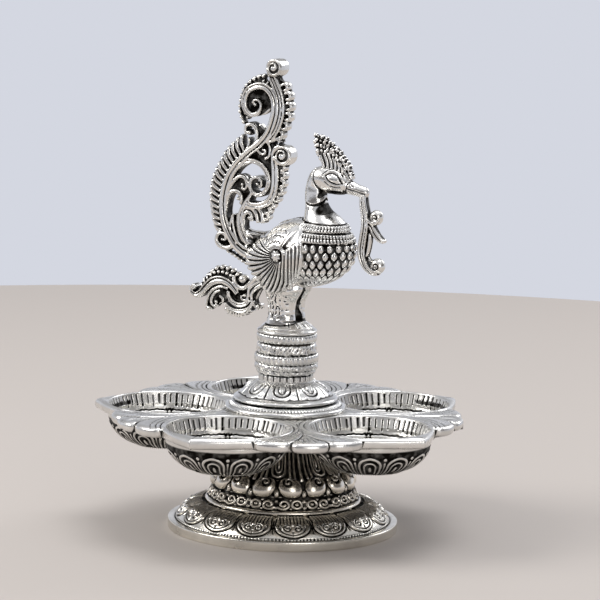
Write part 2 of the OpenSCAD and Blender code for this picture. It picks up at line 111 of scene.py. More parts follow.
def oval(cx, cv, rx, rv, start=0, end=360, steps=28):
    a = np.radians(np.linspace(start, end, steps + 1))
    return np.stack([cx + rx * np.cos(a), cv + rv * np.sin(a)], 1)


def curl(cx, cv, r0, r1, start, turns, steps=40):
    a = np.radians(start) + np.linspace(0, turns * 2 * np.pi, steps + 1)
    r = np.linspace(r0, r1, steps + 1)
    return np.stack([cx + r * np.cos(a), cv + r * np.sin(a)], 1)


def raised(z, points):
    """Profile points with their heights counted from z."""
    return [(r, z + up) for r, up in points]


# relief stamps, all in millimetres

def ramp(value, low, high):
    t = np.clip((value - low) / (high - low), 0, 1)
    return t * t * (3 - 2 * t)


def off_line(x, v, line):
    """Distance from each point to a drawn line."""
    best = np.full(np.broadcast(x, v).shape, 1e9)
    for (ax, av), (bx, bv) in zip(line[:-1], line[1:]):
        dx, dv = bx - ax, bv - av
        t = np.clip(((x - ax) * dx + (v - av) * dv) / max(dx * dx + dv * dv, 1e-12), 0, 1)
        np.minimum(best, np.hypot(x - ax - t * dx, v - av - t * dv), out=best)
    return best


def bulge(t):
    """A round rise from 0 at the ends, where t is -1 or 1, to 1 in the middle."""
    return np.sqrt(np.clip(1 - t ** 2, 0, 1))


def wire(gap, half, height):
    return height * bulge(gap / half)


def cut(gap, half, depth):
    return -depth * (1 - ramp(gap, half * 0.25, half))


def lump(x, v, cx, cv, rx, rv, height):
    return height * np.sqrt(np.clip(1 - ((x - cx) / rx) ** 2 - ((v - cv) / rv) ** 2, 0, 1))


def wires(x, v, strokes):
    """The highest of several wires, each given as its line, half its width and its height."""
    return np.maximum.reduce([wire(off_line(x, v, line), half, height) for line, half, height in strokes])


def cuts(x, v, strokes):
    """The deepest of several cuts, each given as its line, half its width and its depth."""
    return np.minimum.reduce([cut(off_line(x, v, line), half, depth) for line, half, depth in strokes])


def scatter(a, b):
    """A fixed uneven value from 0 to 1 for each cell of a stippled ground."""
    return np.modf(np.abs(np.sin(a * 12.9898 + b * 78.233) * 43758.5453))[0]


def stipple(x, v, pitch, depth):
    """Small punched dots, set unevenly."""
    best = np.zeros(np.broadcast(x, v).shape)
    cx, cv = np.floor(x / pitch), np.floor(v / pitch)
    for i in (-1, 0, 1):
        for j in (-1, 0, 1):
            a, b = cx + i, cv + j
            gap = np.hypot(x - (a + 0.25 + 0.5 * scatter(a, b)) * pitch,
                           v - (b + 0.25 + 0.5 * scatter(b + 7, a)) * pitch)
            best = np.minimum(best, cut(gap, pitch * 0.42, depth))
    return best


# meshes

def grid_quads(rows, columns, wrap_rows, wrap_columns):
    i = np.arange(rows if wrap_rows else rows - 1)[:, None]
    j = np.arange(columns if wrap_columns else columns - 1)[None, :]
    i2, j2 = (i + 1) % rows, (j + 1) % columns
    corner = [np.broadcast_to(a * columns + b, (i.shape[0], j.shape[1])).ravel()
              for a, b in ((i, j), (i, j2), (i2, j2), (i2, j))]
    return np.stack(corner, 1)


def ring_points(r, angle, z):
    """Points on rings about the lamp's axis, one row of them for each height."""
    return np.stack([r * np.cos(angle), r * np.sin(angle), np.broadcast_to(z, r.shape)], -1).reshape(-1, 3)


def weld(points, quads):
    """Joins points that coincide, and returns points, quads and the triangles that are left."""
    key = np.round(points * SAME_POINT).astype(np.int64)
    _, first, back = np.unique(key, axis=0, return_index=True, return_inverse=True)
    quads = back.ravel()[quads]
    same = quads == np.roll(quads, -1, axis=1)
    twice = same.sum(1)
    tris = np.array([[c for c, s in zip(q, f) if not s] for q, f in zip(quads[twice == 1], same[twice == 1])],
                    int)
    return points[first], quads[twice == 0], tris.reshape(-1, 3)


def facing(points, quads, tris):
    """Outward directions at the points of a mesh."""
    total = np.zeros_like(points)
    d = np.cross(points[quads[:, 2]] - points[quads[:, 0]], points[quads[:, 3]] - points[quads[:, 1]])
    e = np.cross(points[tris[:, 1]] - points[tris[:, 0]], points[tris[:, 2]] - points[tris[:, 0]])
    for faces, normal in ((quads, d), (tris, e)):
        for k in range(faces.shape[1]):
            for axis in range(3):
                total[:, axis] += np.bincount(faces[:, k], normal[:, axis], len(points))
    return unit(total, 1e-12)


def edge_pairs(quads, tris):
    pairs = [quads[:, [k, (k + 1) % 4]] for k in range(4)] + [tris[:, [k, (k + 1) % 3]] for k in range(3)]
    pairs = np.vstack(pairs)
    return np.vstack([pairs, pairs[:, ::-1]])


def relaxed(points, pairs, turns, share=1.0):
    """The points drawn towards their neighbours, over and over."""
    count = np.maximum(np.bincount(pairs[:, 0], minlength=len(points)), 1)
    p = points
    for _ in range(turns):
        mean = (np.stack([np.bincount(pairs[:, 0], p[pairs[:, 1], k], len(p)) for k in range(3)], 1)
                / count[:, None])
        p = p + (mean - p) * share
    return p


def cast_mesh(name, points, quads, tris, reach=0.8, oxide_and_shade=None):
    """A smooth mesh in metres, with a value at each point for how deep it lies in its hollow, plus any extra
    oxide and painted shade that the piece gives.
    """
    pairs = edge_pairs(quads, tris)
    edge = np.median(np.linalg.norm(points[pairs[:20000, 0]] - points[pairs[:20000, 1]], axis=1))
    turns = int(np.clip(2 * (reach / edge) ** 2, 3, 40))
    depth = ((relaxed(points, pairs, turns) - points) * facing(points, quads, tris)).sum(1)
    # extra oxide in hollows for some pieces, painted shade for others, added to the depth
    if oxide_and_shade is not None:
        depth = depth + oxide_and_shade
    mesh = bpy.data.meshes.new(name)
    corners = np.concatenate([quads.ravel(), tris.ravel()])
    mesh.vertices.add(len(points))
    mesh.loops.add(len(corners))
    mesh.polygons.add(len(quads) + len(tris))
    mesh.vertices.foreach_set("co", (points * MM).astype(np.float32).ravel())
    mesh.loops.foreach_set("vertex_index", corners.astype(np.int32))
    starts = np.concatenate([np.arange(len(quads)) * 4, len(quads) * 4 + np.arange(len(tris)) * 3])
    mesh.polygons.foreach_set("loop_start", starts.astype(np.int32))
    mesh.polygons.foreach_set("use_smooth", np.ones(len(starts), bool))
    mesh.attributes.new("recess_and_shade", "FLOAT", "POINT").data.foreach_set("value", depth.astype(np.float32))
    mesh.update(calc_edges=True)
    mesh.validate()
    return mesh


def add_piece(name, form, body, finish, slot, *nodes, oxide_and_shade=None):
    """One piece of the lamp from its form, which is points, quads and triangles in millimetres."""
    mesh = cast_mesh(name, *form, oxide_and_shade=oxide_and_shade)
    piece = bpy.data.objects.new(name, mesh)
    bpy.context.scene.collection.objects.link(piece)
    mesh.materials.append(finish)
    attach(piece, body)
    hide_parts(*nodes)


def add_bird_piece(name, points, quads, tris, finish, node, oxide_and_shade):
    points[:, 2] += BIRD_SINK
    add_piece(name, (points, quads, tris), "bird", finish, "antique_silver", node, oxide_and_shade=oxide_and_shade)


def turned(sections, columns, closed=True):
    """A turned form. Each section is (profile points, step) or (profile points, step, cells round it, relief),
    and relief(x, v) gives the height at x millimetres from the middle of a cell and v millimetres along it."""
    angle = round_turn(columns)
    rows, rises = [], []
    for points, step, *ornament in sections:
        line = walk(points, step)
        run = run_along(line)
        rise = np.zeros((len(line), columns))
        if ornament:
            cells, relief = ornament
            part = columns // cells
            x = (np.arange(part) / part - 0.5)[None, :] * 2 * np.pi / cells * line[:, :1]
            rise = np.tile(relief(x, run[:, None]), (1, cells))
        keep = 1 if rows else 0
        rows.append(line[keep:])
        rises.append(rise[keep:])
    line, rise = np.vstack(rows), np.vstack(rises)
    if closed:
        line, rise = line[:-1], rise[:-1]
        tangent = np.roll(line, -1, 0) - np.roll(line, 1, 0)
    else:
        tangent = np.gradient(line, axis=0)
    tangent = unit(tangent)
    r = line[:, :1] + rise * tangent[:, 1:]
    z = line[:, 1:] - rise * tangent[:, :1]
    return weld(ring_points(r, angle, z), grid_quads(len(line), columns, closed, True))


# closed shells that are fused into one casting

def capped(points, flip=False):
    """A closed shell from rows of points round it, with a flat face on each end."""
    rows, n = points.shape[:2]
    ends = [list(range(n)), list(range((rows - 1) * n, rows * n))]
    ends[1 if flip else 0].reverse()
    return points.reshape(-1, 3), grid_quads(rows, n, False, True).tolist() + ends


def swept(path, depth, grooves=(), groove_depth=0.8):
    """A strand along [x, z, width] points in the bird's middle plane. Its two faces are rounded ridges with
    grooves between them, at places from -1 to 1 across the width."""
    q = evenly(smooth_line(path, 8), 0.35)
    head = unit(np.gradient(q[:, :2], axis=0))
    side = np.stack([-head[:, 1], head[:, 0]], 1)
    lines = np.array([-1, *grooves, 1.0])
    a = np.concatenate([lines[:1]] + [np.linspace(u, v, 9)[1:] for u, v in zip(lines[:-1], lines[1:])])
    ridge = np.clip(np.searchsorted(lines, a, side="left") - 1, 0, len(lines) - 2)
    off = np.abs(2 * (a - lines[ridge]) / (lines[ridge + 1] - lines[ridge]) - 1)
    half = depth / 2 - groove_depth * off ** 2.6
    across = np.concatenate([a, a[::-1]])
    out = np.concatenate([-half, half[::-1]])
    fade = np.clip(q[:, 2:] / 1.2, 0.25, 1)
    mid = q[:, None, :2] + side[:, None, :] * (across[None, :, None] * q[:, 2][:, None, None] / 2)
    y = np.sign(out)[None, :] * (depth / 2 - (depth / 2 - np.abs(out))[None, :] * fade)
    return capped(np.stack([mid[..., 0], y, mid[..., 1]], -1))


def rolled(x, z, profile, sides=26):
    """A form turned about a line across the middle plane, from [radius, y] points."""
    p = np.array(profile, float)
    a = round_turn(sides)
    points = np.stack([x + p[:, :1] * np.cos(a), np.broadcast_to(p[:, 1:], (len(p), sides)),
                       z + p[:, :1] * np.sin(a)], -1)
    return capped(points, flip=True)


def roller(x, z, r, depth):
    """A rolled scroll with rounded ends."""
    h = depth / 2
    half = [[r * 0.45, -h], [r * 0.74, -h + 0.12], [r * 0.91, -h + 0.5], [r * 0.99, -h + 1.1]]
    return rolled(x, z, half + [[r * 1.02, 0]] + [[a, -b] for a, b in half[::-1]])


def knob(x, z, r, depth):
    """A bulging bead with a pit in each end."""
    h = depth / 2
    half = [[0.05, -h + 0.85], [r * 0.26, -h + 0.7], [r * 0.4, -h + 0.2], [r * 0.56, -h], [r * 0.78, -h + 0.2],
            [r * 0.94, -h + 0.75], [r * 1.02, -h + 1.5]]
    return rolled(x, z, half + [[r * 1.06, 0]] + [[a, -b] for a, b in half[::-1]])


def ball(x, y, z, rx, ry=None, rz=None, sides=20):
    ry, rz = ry or rx, rz or rx
    a = round_turn(sides)
    b = np.linspace(-np.pi / 2 + 0.08, np.pi / 2 - 0.08, sides // 2)[:, None]
    return capped(np.stack([x + rx * np.cos(b) * np.cos(a), y + ry * np.cos(b) * np.sin(a),
                            z + rz * np.broadcast_to(np.sin(b), (len(b), sides))], -1))


def tube(path, sides=24, flat=1.0, step=0.5):
    """A round limb along [x, y, z, radius] points, flattened in its own upright plane by flat."""
    q = evenly(smooth_line(path, 8), step)
    head = unit(np.gradient(q[:, :3], axis=0))
    across = unit(np.cross(head, [0.0, 1.0, 0.02]))
    other = np.cross(head, across)
    a = round_turn(sides)
    ring = across[:, None, :] * np.cos(a)[None, :, None] * flat + other[:, None, :] * np.sin(a)[None, :, None]
    return capped(q[:, None, :3] + ring * q[:, 3][:, None, None])


def slab(outline, depth):
    """A thin floor across the middle plane, inside an [x, z] outline."""
    p = np.array(outline, float)
    n = len(p)
    points = np.vstack([np.stack([p[:, 0], np.full(n, y), p[:, 1]], 1) for y in (-depth / 2, depth / 2)])
    faces = [list(range(n)), list(range(n, 2 * n))[::-1]]
    faces += [[i, n + i, n + (i + 1) % n, (i + 1) % n] for i in range(n)]
    return points, faces


def fuse(shells, voxel, turns=2):
    """One cast skin over all the shells."""
    points, faces, start = [], [], 0
    for p, f in shells:
        points.append(p)
        faces += [[start + i for i in face] for face in f]
        start += len(p)
    raw = bpy.data.meshes.new("raw_casting")
    raw.from_pydata(np.vstack(points).tolist(), [], faces)
    holder = bpy.data.objects.new("raw_casting", raw)
    bpy.context.scene.collection.objects.link(holder)
    skin = holder.modifiers.new("skin", "REMESH")
    skin.mode = "VOXEL"
    skin.voxel_size = voxel
    mesh = bpy.data.meshes.new_from_object(holder.evaluated_get(bpy.context.evaluated_depsgraph_get()))
    p = np.empty(len(mesh.vertices) * 3, np.float32)
    mesh.vertices.foreach_get("co", p)
    p = p.reshape(-1, 3).astype(float)
    corners = np.empty(len(mesh.loops), np.int32)
    mesh.loops.foreach_get("vertex_index", corners)
    sizes = np.empty(len(mesh.polygons), np.int32)
    mesh.polygons.foreach_get("loop_total", sizes)
    starts = np.cumsum(sizes) - sizes
    quads = corners[starts[sizes == 4][:, None] + np.arange(4)].astype(int)
    tris = corners[starts[sizes == 3][:, None] + np.arange(3)].astype(int)
    bpy.data.objects.remove(holder)
    for used in (raw, mesh):
        bpy.data.meshes.remove(used)
    return relaxed(p, edge_pairs(quads, tris), turns, 0.6), quads, tris


# finishes

def new_node(tree, kind, values=()):
    """A shader node with fixed values on its inputs."""
    made = tree.nodes.new(kind)
    for key, value in dict(values).items():
        made.inputs[key].default_value = value
    return made


def new_math(tree, operation, values=()):
    made = new_node(tree, "ShaderNodeMath", values)
    made.operation = operation
    return made


def link_all(tree, links):
    """Links given as a node, its output, the next node and its input."""
    for a, out, b, into in links:
        tree.links.new(a.outputs[out], b.inputs[into])


def aged_silver_group():
    """Silver with dark oxide left in its hollows, and painted shade where little light gets in and where a
    piece marks it, worn bright on what stands out.
    """
    g = bpy.data.node_groups.new("aged_silver", "ShaderNodeTree")
    for name, kind, value in (("Silver", "NodeSocketColor", (0.8, 0.79, 0.77, 1)),
                              ("Oxide", "NodeSocketColor", (0.007, 0.006, 0.005, 1)),
                              ("Hold", "NodeSocketFloat", 0.14),
                              ("Shade", "NodeSocketFloat", 0.8),
                              ("Polish", "NodeSocketFloat", 0.2)):
        s = g.interface.new_socket(name, in_out="INPUT", socket_type=kind)
        s.default_value = value
    for name, kind in (("Color", "NodeSocketColor"), ("Roughness", "NodeSocketFloat"),
                       ("Height", "NodeSocketFloat")):
        g.interface.new_socket(name, in_out="OUTPUT", socket_type=kind)
    into, out = g.nodes.new("NodeGroupInput"), g.nodes.new("NodeGroupOutput")
    place = new_node(g, "ShaderNodeTexCoord")
    # oxide in the hollows of the relief, and painted shade as well as oxide wherever little light gets in
    recess_and_shade = new_node(g, "ShaderNodeAttribute")
    recess_and_shade.attribute_name = "recess_and_shade"
    fine = new_node(g, "ShaderNodeMapRange", {"From Min": 0.008})
    fine.interpolation_type = "SMOOTHSTEP"
    hollow = new_node(g, "ShaderNodeAmbientOcclusion", {"Distance": 0.0032})
    hollow.samples = 8
    hollow.only_local = True
    deep = new_node(g, "ShaderNodeMapRange", {"From Min": 0.82, "From Max": 0.3})
    # oxide and painted shade held unevenly, with a light tarnish over all
    cloud = new_node(g, "ShaderNodeTexNoise", {"Scale": 420, "Detail": 3})
    both = new_math(g, "MAXIMUM")
    patch = new_node(g, "ShaderNodeMapRange",
                     {"From Min": 0.3, "From Max": 0.62, "To Min": 0.84, "To Max": 1.06})
    oxide_and_shade = new_math(g, "MULTIPLY")
    oxide_and_shade.use_clamp = True
    tone = new_node(g, "ShaderNodeTexNoise", {"Scale": 100, "Detail": 4})
    tarnish = new_node(g, "ShaderNodeMapRange", {"From Min": 0.42, "From Max": 0.75, "To Max": 0.24})
    aged = new_math(g, "MAXIMUM")
    colour = new_node(g, "ShaderNodeMix")
    colour.data_type = "RGBA"
    # oxide is duller than bare metal, and the cast skin is slightly rough
    dull = new_math(g, "MULTIPLY_ADD", {1: 0.34})
    speck = new_math(g, "MULTIPLY_ADD", {1: 0.1})
    skin = new_node(g, "ShaderNodeTexNoise", {"Scale": 1500, "Detail": 2})
    swell = new_math(g, "MULTIPLY_ADD", {1: 0.35})
    link_all(g, (
        (recess_and_shade, "Fac", fine, "Value"), (into, "Hold", fine, "From Max"),
        (hollow, "AO", deep, "Value"), (into, "Shade", deep, "To Max"),
        (place, "Object", cloud, "Vector"), (fine, "Result", both, 0), (deep, "Result", both, 1),
        (cloud, "Fac", patch, "Value"), (both, "Value", oxide_and_shade, 0), (patch, "Result", oxide_and_shade, 1),
        (place, "Object", tone, "Vector"), (tone, "Fac", tarnish, "Value"),
        (oxide_and_shade, "Value", aged, 0), (tarnish, "Result", aged, 1), (aged, "Value", colour, "Factor"),
        (into, "Silver", colour, 6), (into, "Oxide", colour, 7), (colour, 2, out, "Color"),
        (aged, "Value", dull, 0), (into, "Polish", dull, 2), (tone, "Fac", speck, 0), (dull, "Value", speck, 2),
        (speck, "Value", out, "Roughness"), (place, "Object", skin, "Vector"), (skin, "Fac", swell, 0),
        (cloud, "Fac", swell, 2), (swell, "Value", out, "Height")))
    return g


AGED_SILVER = aged_silver_group()


def new_finish(name):
    """A new material, its node tree and its shader."""
    m = bpy.data.materials.new(name)
    m.use_nodes = True
    return m, m.node_tree, m.node_tree.nodes["Principled BSDF"]


def silver_finish(name, silver, hold, shade, polish, uneven):
    m, t, metal = new_finish(name)
    metal.inputs["Metallic"].default_value = 1.0
    age = t.nodes.new("ShaderNodeGroup")
    age.node_tree = AGED_SILVER
    for key, value in (("Silver", (*silver, 1)), ("Hold", hold), ("Shade", shade), ("Polish", polish)):
        age.inputs[key].default_value = value
    bump = new_node(t, "ShaderNodeBump", {"Strength": uneven, "Distance": 0.0002})
    link_all(t, ((age, "Color", metal, "Base Color"), (age, "Roughness", metal, "Roughness"),
                 (age, "Height", bump, "Height"), (bump, "Normal", metal, "Normal")))
    return m


FOOT_SILVER = silver_finish("foot_silver", (0.85, 0.815, 0.74), 0.055, 1.0, 0.15, 0.35)
BELL_SILVER = silver_finish("bell_silver", (0.84, 0.79, 0.7), 0.04, 1.0, 0.14, 0.3)
TRAY_SILVER = silver_finish("tray_silver", (0.8, 0.785, 0.755), 0.09, 0.95, 0.22, 0.4)
CUP_SILVER = silver_finish("cup_silver", (0.78, 0.765, 0.73), 0.11, 0.95, 0.22, 0.4)
COLLAR_SILVER = silver_finish("collar_silver", (0.79, 0.78, 0.755), 0.1, 0.9, 0.17, 0.4)
BIRD_SILVER = silver_finish("bird_silver", (0.86, 0.845, 0.815), 0.055, 1.0, 0.15, 0.45)
PLUME_SILVER = silver_finish("plume_silver", (0.87, 0.85, 0.805), 0.045, 1.0, 0.14, 0.25)


# foot, bell and stem of the stand

def medallions(x, v):
    """Rounded petals on the dome, with double lines, two curls and a bead, under a ring of stripes."""
    side = np.abs(x)
    low = (np.hypot(x / 6.1, (v - 5) / 3.9) - 1) * 4.7
    gap = np.where(v < 5, low, side - 6.1 + 0.2 * (v - 5))
    stripes = ramp(v, 5.6, 7.4)
    h = 0.5 * (1 - ramp(gap, -0.3, 0.1)) + cut(np.abs(gap), 0.4, 0.45)
    strokes = ((curl(1.7, 4.6, 1.45, 0.35, 100, -1.2), 0.32, 0.42), ([(0, 1.9), (0, 3.4)], 0.28, 0.36),
               ([(3.4, 2.9), (4.1, 5.4)], 0.26, 0.3))
    lines = np.minimum(cut(np.abs(gap + 1.25), 0.32, 0.4), cuts(side, v, strokes))
    h += lines * (1 - 0.7 * stripes) + lump(x, v, 0, 6.2, 0.75, 0.8, 0.35)
    h += cut(side.max(1, keepdims=True) - side, 0.32, 0.4) * ramp(v, 2.4, 3.4)
    h -= 0.55 * stripes * (0.5 - 0.5 * np.cos(2 * np.pi * x / 1.15)) ** 1.4 * (1 - 0.4 * ramp(v, 10.8, 11.4))
    beads = lump(x % 1.2, v, 0.6, 0.45, 0.5, 0.4, 0.2)
    return h + beads - 0.15 * (1 - ramp(v, 0.7, 1.1))


def make_foot():
    rim = eased([(36.6, 0), (40, 0), (40, 3.4), (37.9, 3.4), (37.4, 3.1)], 0.5)
    dome = smooth_line([(37.4, 3.1), (36.9, 4.1), (35.8, 5.6), (34.2, 7.1), (32.2, 8.4), (30.2, 9.1),
                        (28.4, 9.4)], 8)
    inside = eased([(28.4, 9.4), (21.7, 9.4), (21.7, 11.4), (19.7, 12.4), (13.3, 18.5), (HOLE_R, 18.5),
                    (HOLE_R, 16.1), (12.3, 16.1), (17.3, 10), (18.1, 7), (27.6, 7), (32.3, 6.64), (34.1, 3.4),
                    (36.6, 0)], 0.5, 2)
    form = turned([(rim, 0.8), (dome, 0.17, 16, medallions), (inside, 3)], 16 * 66)
    add_piece("foot_casting", form, "stand", FOOT_SILVER, "antique_silver", "pedestal_foot")


def bell_ornament(x, v):
    x = x / np.abs(x).max(1, keepdims=True) * 8.7
    side = np.abs(x)
    band = ramp(v, 0.05, 0.35) * (1 - ramp(v, 4.3, 4.8))
    upper = ramp(v, 10.6, 12)
    ground = -0.45 * band - 0.75 * upper
    w = v * 1.1
    beads = ((6.3, 2.5, 0.7, 0.8), (0, 1.2, 0.6, 0.7), (0, 3.8, 0.6, 0.8), (8.7, 1.3, 0.7, 0.7),
             (8.7, 3.6, 0.8, 0.8), (4.4, 4.2, 0.6, 0.7), (4.4, 0.9, 0.5, 0.6))
    scrolls = np.maximum.reduce([
        wire(off_line(side, w, curl(2.3, 2.5, 2.0, 0.5, -150, 1.35)), 0.52, 0.95),
        wire(np.abs(np.hypot(side - 6.3, w - 2.5) - 1.45), 0.52, 0.9),
        *[lump(side, w, x0, w0, r, r, height) for x0, w0, r, height in beads]]) * band
    lean = side + 0.14 * (v - 8)
    knobs = lump(lean, v, 4.35, 8.1, 3.95, 3.9, 2.3)
    eye = off_line(side, v, curl(3.7, 9.5, 2.1, 0.4, 20, 1.35))
    knobs = knobs + np.where(knobs > 0.2, cut(eye, 0.55, 1.1), 0)
    buds = np.maximum(lump(side, v, 0, 6.2, 0.85, 1.5, 1.0), lump(side, v, 8.7, 6.0, 0.8, 1.4, 1.0))
    pendant = np.vstack([[(2.7, 31), (2.7, 15.4)], oval(0, 15.4, 2.7, 3.2, 0, -90, 10)])
    inner = np.vstack([[(1.45, 31), (1.45, 16.4)], oval(0, 16.4, 1.45, 2.1, 0, -90, 8)])
    ribs = wires(side, v, ((pendant, 0.55, 1.2), (inner, 0.4, 1.0), ([(4.55, 31), (4.55, 12)], 0.55, 1.25),
                           ([(6.5, 31), (6.3, 11.6)], 0.55, 1.25), ([(8.7, 31), (8.7, 9.4)], 0.7, 1.35)))
    ribs = np.maximum(ribs, lump(side, v, 0, 17.4, 0.6, 1.8, 0.9)) * ramp(v, 10.2, 12)
    return ground + np.maximum.reduce([scrolls, knobs, buds, ribs])


def make_bell():
    flange = eased(raised(SEAT_Z, [(22, 0), (26.9, 0), (27.25, 0.8), (26.9, 1.5), (26.3, 1.75)]), 0.45)
    bell = smooth_line(raised(SEAT_Z, [
        (26.3, 1.75), (25.6, 3), (24.9, 4.6), (24.2, 6.2), (23.4, 8.2), (22.2, 10.4), (20.5, 12.4),
        (18.8, 13.7), (17.2, 16.1), (15.9, 19.3), (15, 22.75), (14.7, 25.9), (15.2, 28.8)]), 8)
    inside = raised(SEAT_Z, [
        (15.2, 28.8), (HOLE_R, 28.8), (HOLE_R, 26.2), (12.4, 26.2), (12.4, 23), (13.4, 19.3),
        (14.6, 16.1), (16, 13.2), (17.7, 12.1), (21.4, 7.8), (22, 5.8), (22, 0)])
    form = turned([(flange, 0.4), (bell, 0.23, 8, bell_ornament), (inside, 4)], 8 * 88)
    add_piece("bell_casting", form, "stand", BELL_SILVER, "antique_silver", "pedestal_bell")


def make_collar_disc():
    ring = eased(raised(TRAY_Z, [(HOLE_R, 0), (20.5, 0), (21.1, 0.7), (20.8, 1.5), (19.9, 1.9)]), 0.6)
    milled = eased(raised(TRAY_Z, [(19.9, 1.9), (19.3, 2), (18.9, 2.3), (18.6, 2.8), (18.4, 3.2)]), 0.3)
    top = raised(TRAY_Z, [(18.4, 3.2), (HOLE_R, 3.2), (HOLE_R, 0)])

    def notches(x, v):
        return (wire(np.abs(x), 0.42, 0.4) * ramp(v, 0.3, 0.6) * (1 - ramp(v, 1.3, 1.6))
                - 0.3 * ramp(v, 0.1, 0.4))

    form = turned([(ring, 0.4), (milled, 0.14, 104, notches), (top, 6)], 104 * 7)
    add_piece("milled_disc", form, "stand", COLLAR_SILVER, "antique_silver", "collar_disc")


def lotus_petals(x, v):
    """Broad petals with a raised oval in each, and a scalloped skirt."""
    x = x / np.abs(x).max(1, keepdims=True) * 5.2
    side = np.abs(x)
    skirt = np.where(side < 2.4, 2.5 - 1.1 * bulge(side / 2.5),
                     2.6 - 0.75 * bulge((side - 3.9) / 1.6))
    step = 0.36 * ramp(v - skirt, -0.2, 0.2)
    outer = np.vstack([[(3.1, 9.6), (2.9, 5.8)], oval(0, 5.8, 2.9, 2.7, 0, -90, 10)])
    lines = cuts(side, v, ((outer, 0.42, 0.5), ([(5.2, 9.6), (5.2, 2.4)], 0.4, 0.45)))
    tongue = np.hypot(x / 1.35, (v - 6.6) / 2.4)
    return (step + lines + 0.35 * (1 - ramp(tongue, 0.55, 1))
            + cut(np.abs(tongue - 1) * 1.5, 0.34, 0.2) * ramp(v, 3.4, 4))


def make_lotus_collar():
    edge = eased(raised(LOTUS_Z, [(HOLE_R, 0), (17.6, 0), (18.25, 0.6), (18, 1.25), (17.4, 1.6)]), 0.5)
    slope = smooth_line(raised(LOTUS_Z,
                               [(17.4, 1.6), (15.9, 2.15), (14.8, 3.1), (13.5, 4.5), (11.8, 5.7), (9.7, 6.35)]),
                        8)
    top = raised(LOTUS_Z, [(9.7, 6.35), (HOLE_R, 6.4), (HOLE_R, 0)])
    form = turned([(edge, 0.5), (slope, 0.15, 8, lotus_petals), (top, 4)], 8 * 72)
    add_piece("lotus_casting", form, "stand", COLLAR_SILVER, "antique_silver", "lotus_collar")


def rope(count, slant, height):
    def texture(x, v):
        return height * (0.5 + 0.5 * np.cos(2 * np.pi * (x / (2 * np.pi * 10.6 / count) + slant * v)))
    return texture


def stem_flutes(x, v):
    return 0.5 * bulge(x / 1.05) * ramp(v, 0.25, 0.55) * (1 - ramp(v, 2.25, 2.6)) - 0.2


def make_stem():
    low = eased(raised(STEM_Z, [(STUD_R, 0), (8.9, 0), (9.3, 0.35)]), 0.2)
    flutes = raised(STEM_Z, [(9.3, 0.35), (9.3, 3.2)])
    lower = eased(raised(STEM_Z,
                         [(9.3, 3.2), (9.7, 3.35), (10.3, 3.6), (10.35, 4.6), (10.2, 4.8), (10.7, 5.0),
                          (10.95, 5.5), (10.9, 6.4), (10.6, 6.8), (10.3, 6.95)]), 0.3)
    middle = eased(raised(STEM_Z,
                          [(10.3, 6.95), (10.3, 7.1), (10.7, 7.25), (10.95, 7.8), (10.95, 9.4), (10.7, 9.9),
                           (10.1, 10.05)]), 0.35)
    upper = eased(raised(STEM_Z,
                         [(10.1, 10.05), (9.9, 10.2), (10.0, 10.5), (10.3, 10.8), (10.35, 11.6), (10.3, 12.9),
                          (10.15, 13.4), (9.8, 13.65)]), 0.3)
    bore = raised(STEM_Z, [(9.8, 13.65), (9.4, 13.7), (STUD_R, 13.7), (STUD_R, 0)])

    def uneven(x, v):
        angle = x / 10.6
        return (0.1 * np.sin(angle * 17 + v) + 0.07 * np.sin(angle * 41 - 2 * v)
                + 0.05 * np.sin(angle * 7 + 3 * v))

    form = turned([(low, 2), (flutes, 0.17, 24, stem_flutes), (lower, 0.22, 1, uneven),
                   (middle, 0.2, 40, rope(40, 0.12, 0.2)), (upper, 0.22, 1, uneven), (bore, 3)], 480)
    add_piece("ringed_stem", form, "stand", COLLAR_SILVER, "antique_silver", "stem_lower")


# tray and cups

def at_cup(points, k):
    """Points of the first fifth of the tray, turned about the lamp's axis to the place of cup k."""
    a = math.radians(FIRST_CUP + CUP_TURN * k)
    x, y = points[:, 0], points[:, 1]
    return np.column_stack([x * math.cos(a) - y * math.sin(a), x * math.sin(a) + y * math.cos(a), points[:, 2]])


def slot_cut(angle, wide, depth):
    """Depth of the slots round a well at an angle about its middle, and how high and low each one reaches."""
    place = angle * WELL_SLOTS / (2 * np.pi)
    number = np.floor(place) % WELL_SLOTS
    gap = (np.abs(place - np.floor(place) - 0.5 + 0.25 * (scatter(number, 3) - 0.5)) * 2 * np.pi * WELL_R
           / WELL_SLOTS)
    width = wide * (0.45 + 0.75 * scatter(number, 1))
    depth = depth * (0.5 + 0.5 * scatter(number, 5)) * (1 - ramp(gap, width * 0.5, width * 1.1))
    return depth, scatter(number, 8), scatter(number, 11)


def tray_edge():
    """Outline of one fifth of the tray, from the middle of one lobe round the pointed petal to the next."""
    tip = [(0, TIP_R), (6, 63.9), (12, 60.6), (17.6, LOBE_R - 4.4)]
    scallop = [(17.6, LOBE_R - 4.4), (18.9, LOBE_R - 2.5), (22, LOBE_R - 1.3), (25.5, LOBE_R - 1),
               (28.3, LOBE_R - 1.5), (29.8, LOBE_R - 2.6)]
    lobe = [(29.8, LOBE_R - 2.6), (31, LOBE_R - 1.1), (33.2, LOBE_R - 0.25), (36, LOBE_R)]
    half = []
    for part in (tip, scallop, lobe):
        xy = [(r * math.cos(math.radians(a)), r * math.sin(math.radians(a))) for a, r in part]
        half += evenly(smooth_line(xy, 12), 0.4).tolist()[0 if not half else 1:]
    half = np.array(half)
    return np.vstack([(half * [1, -1])[:0:-1], half])


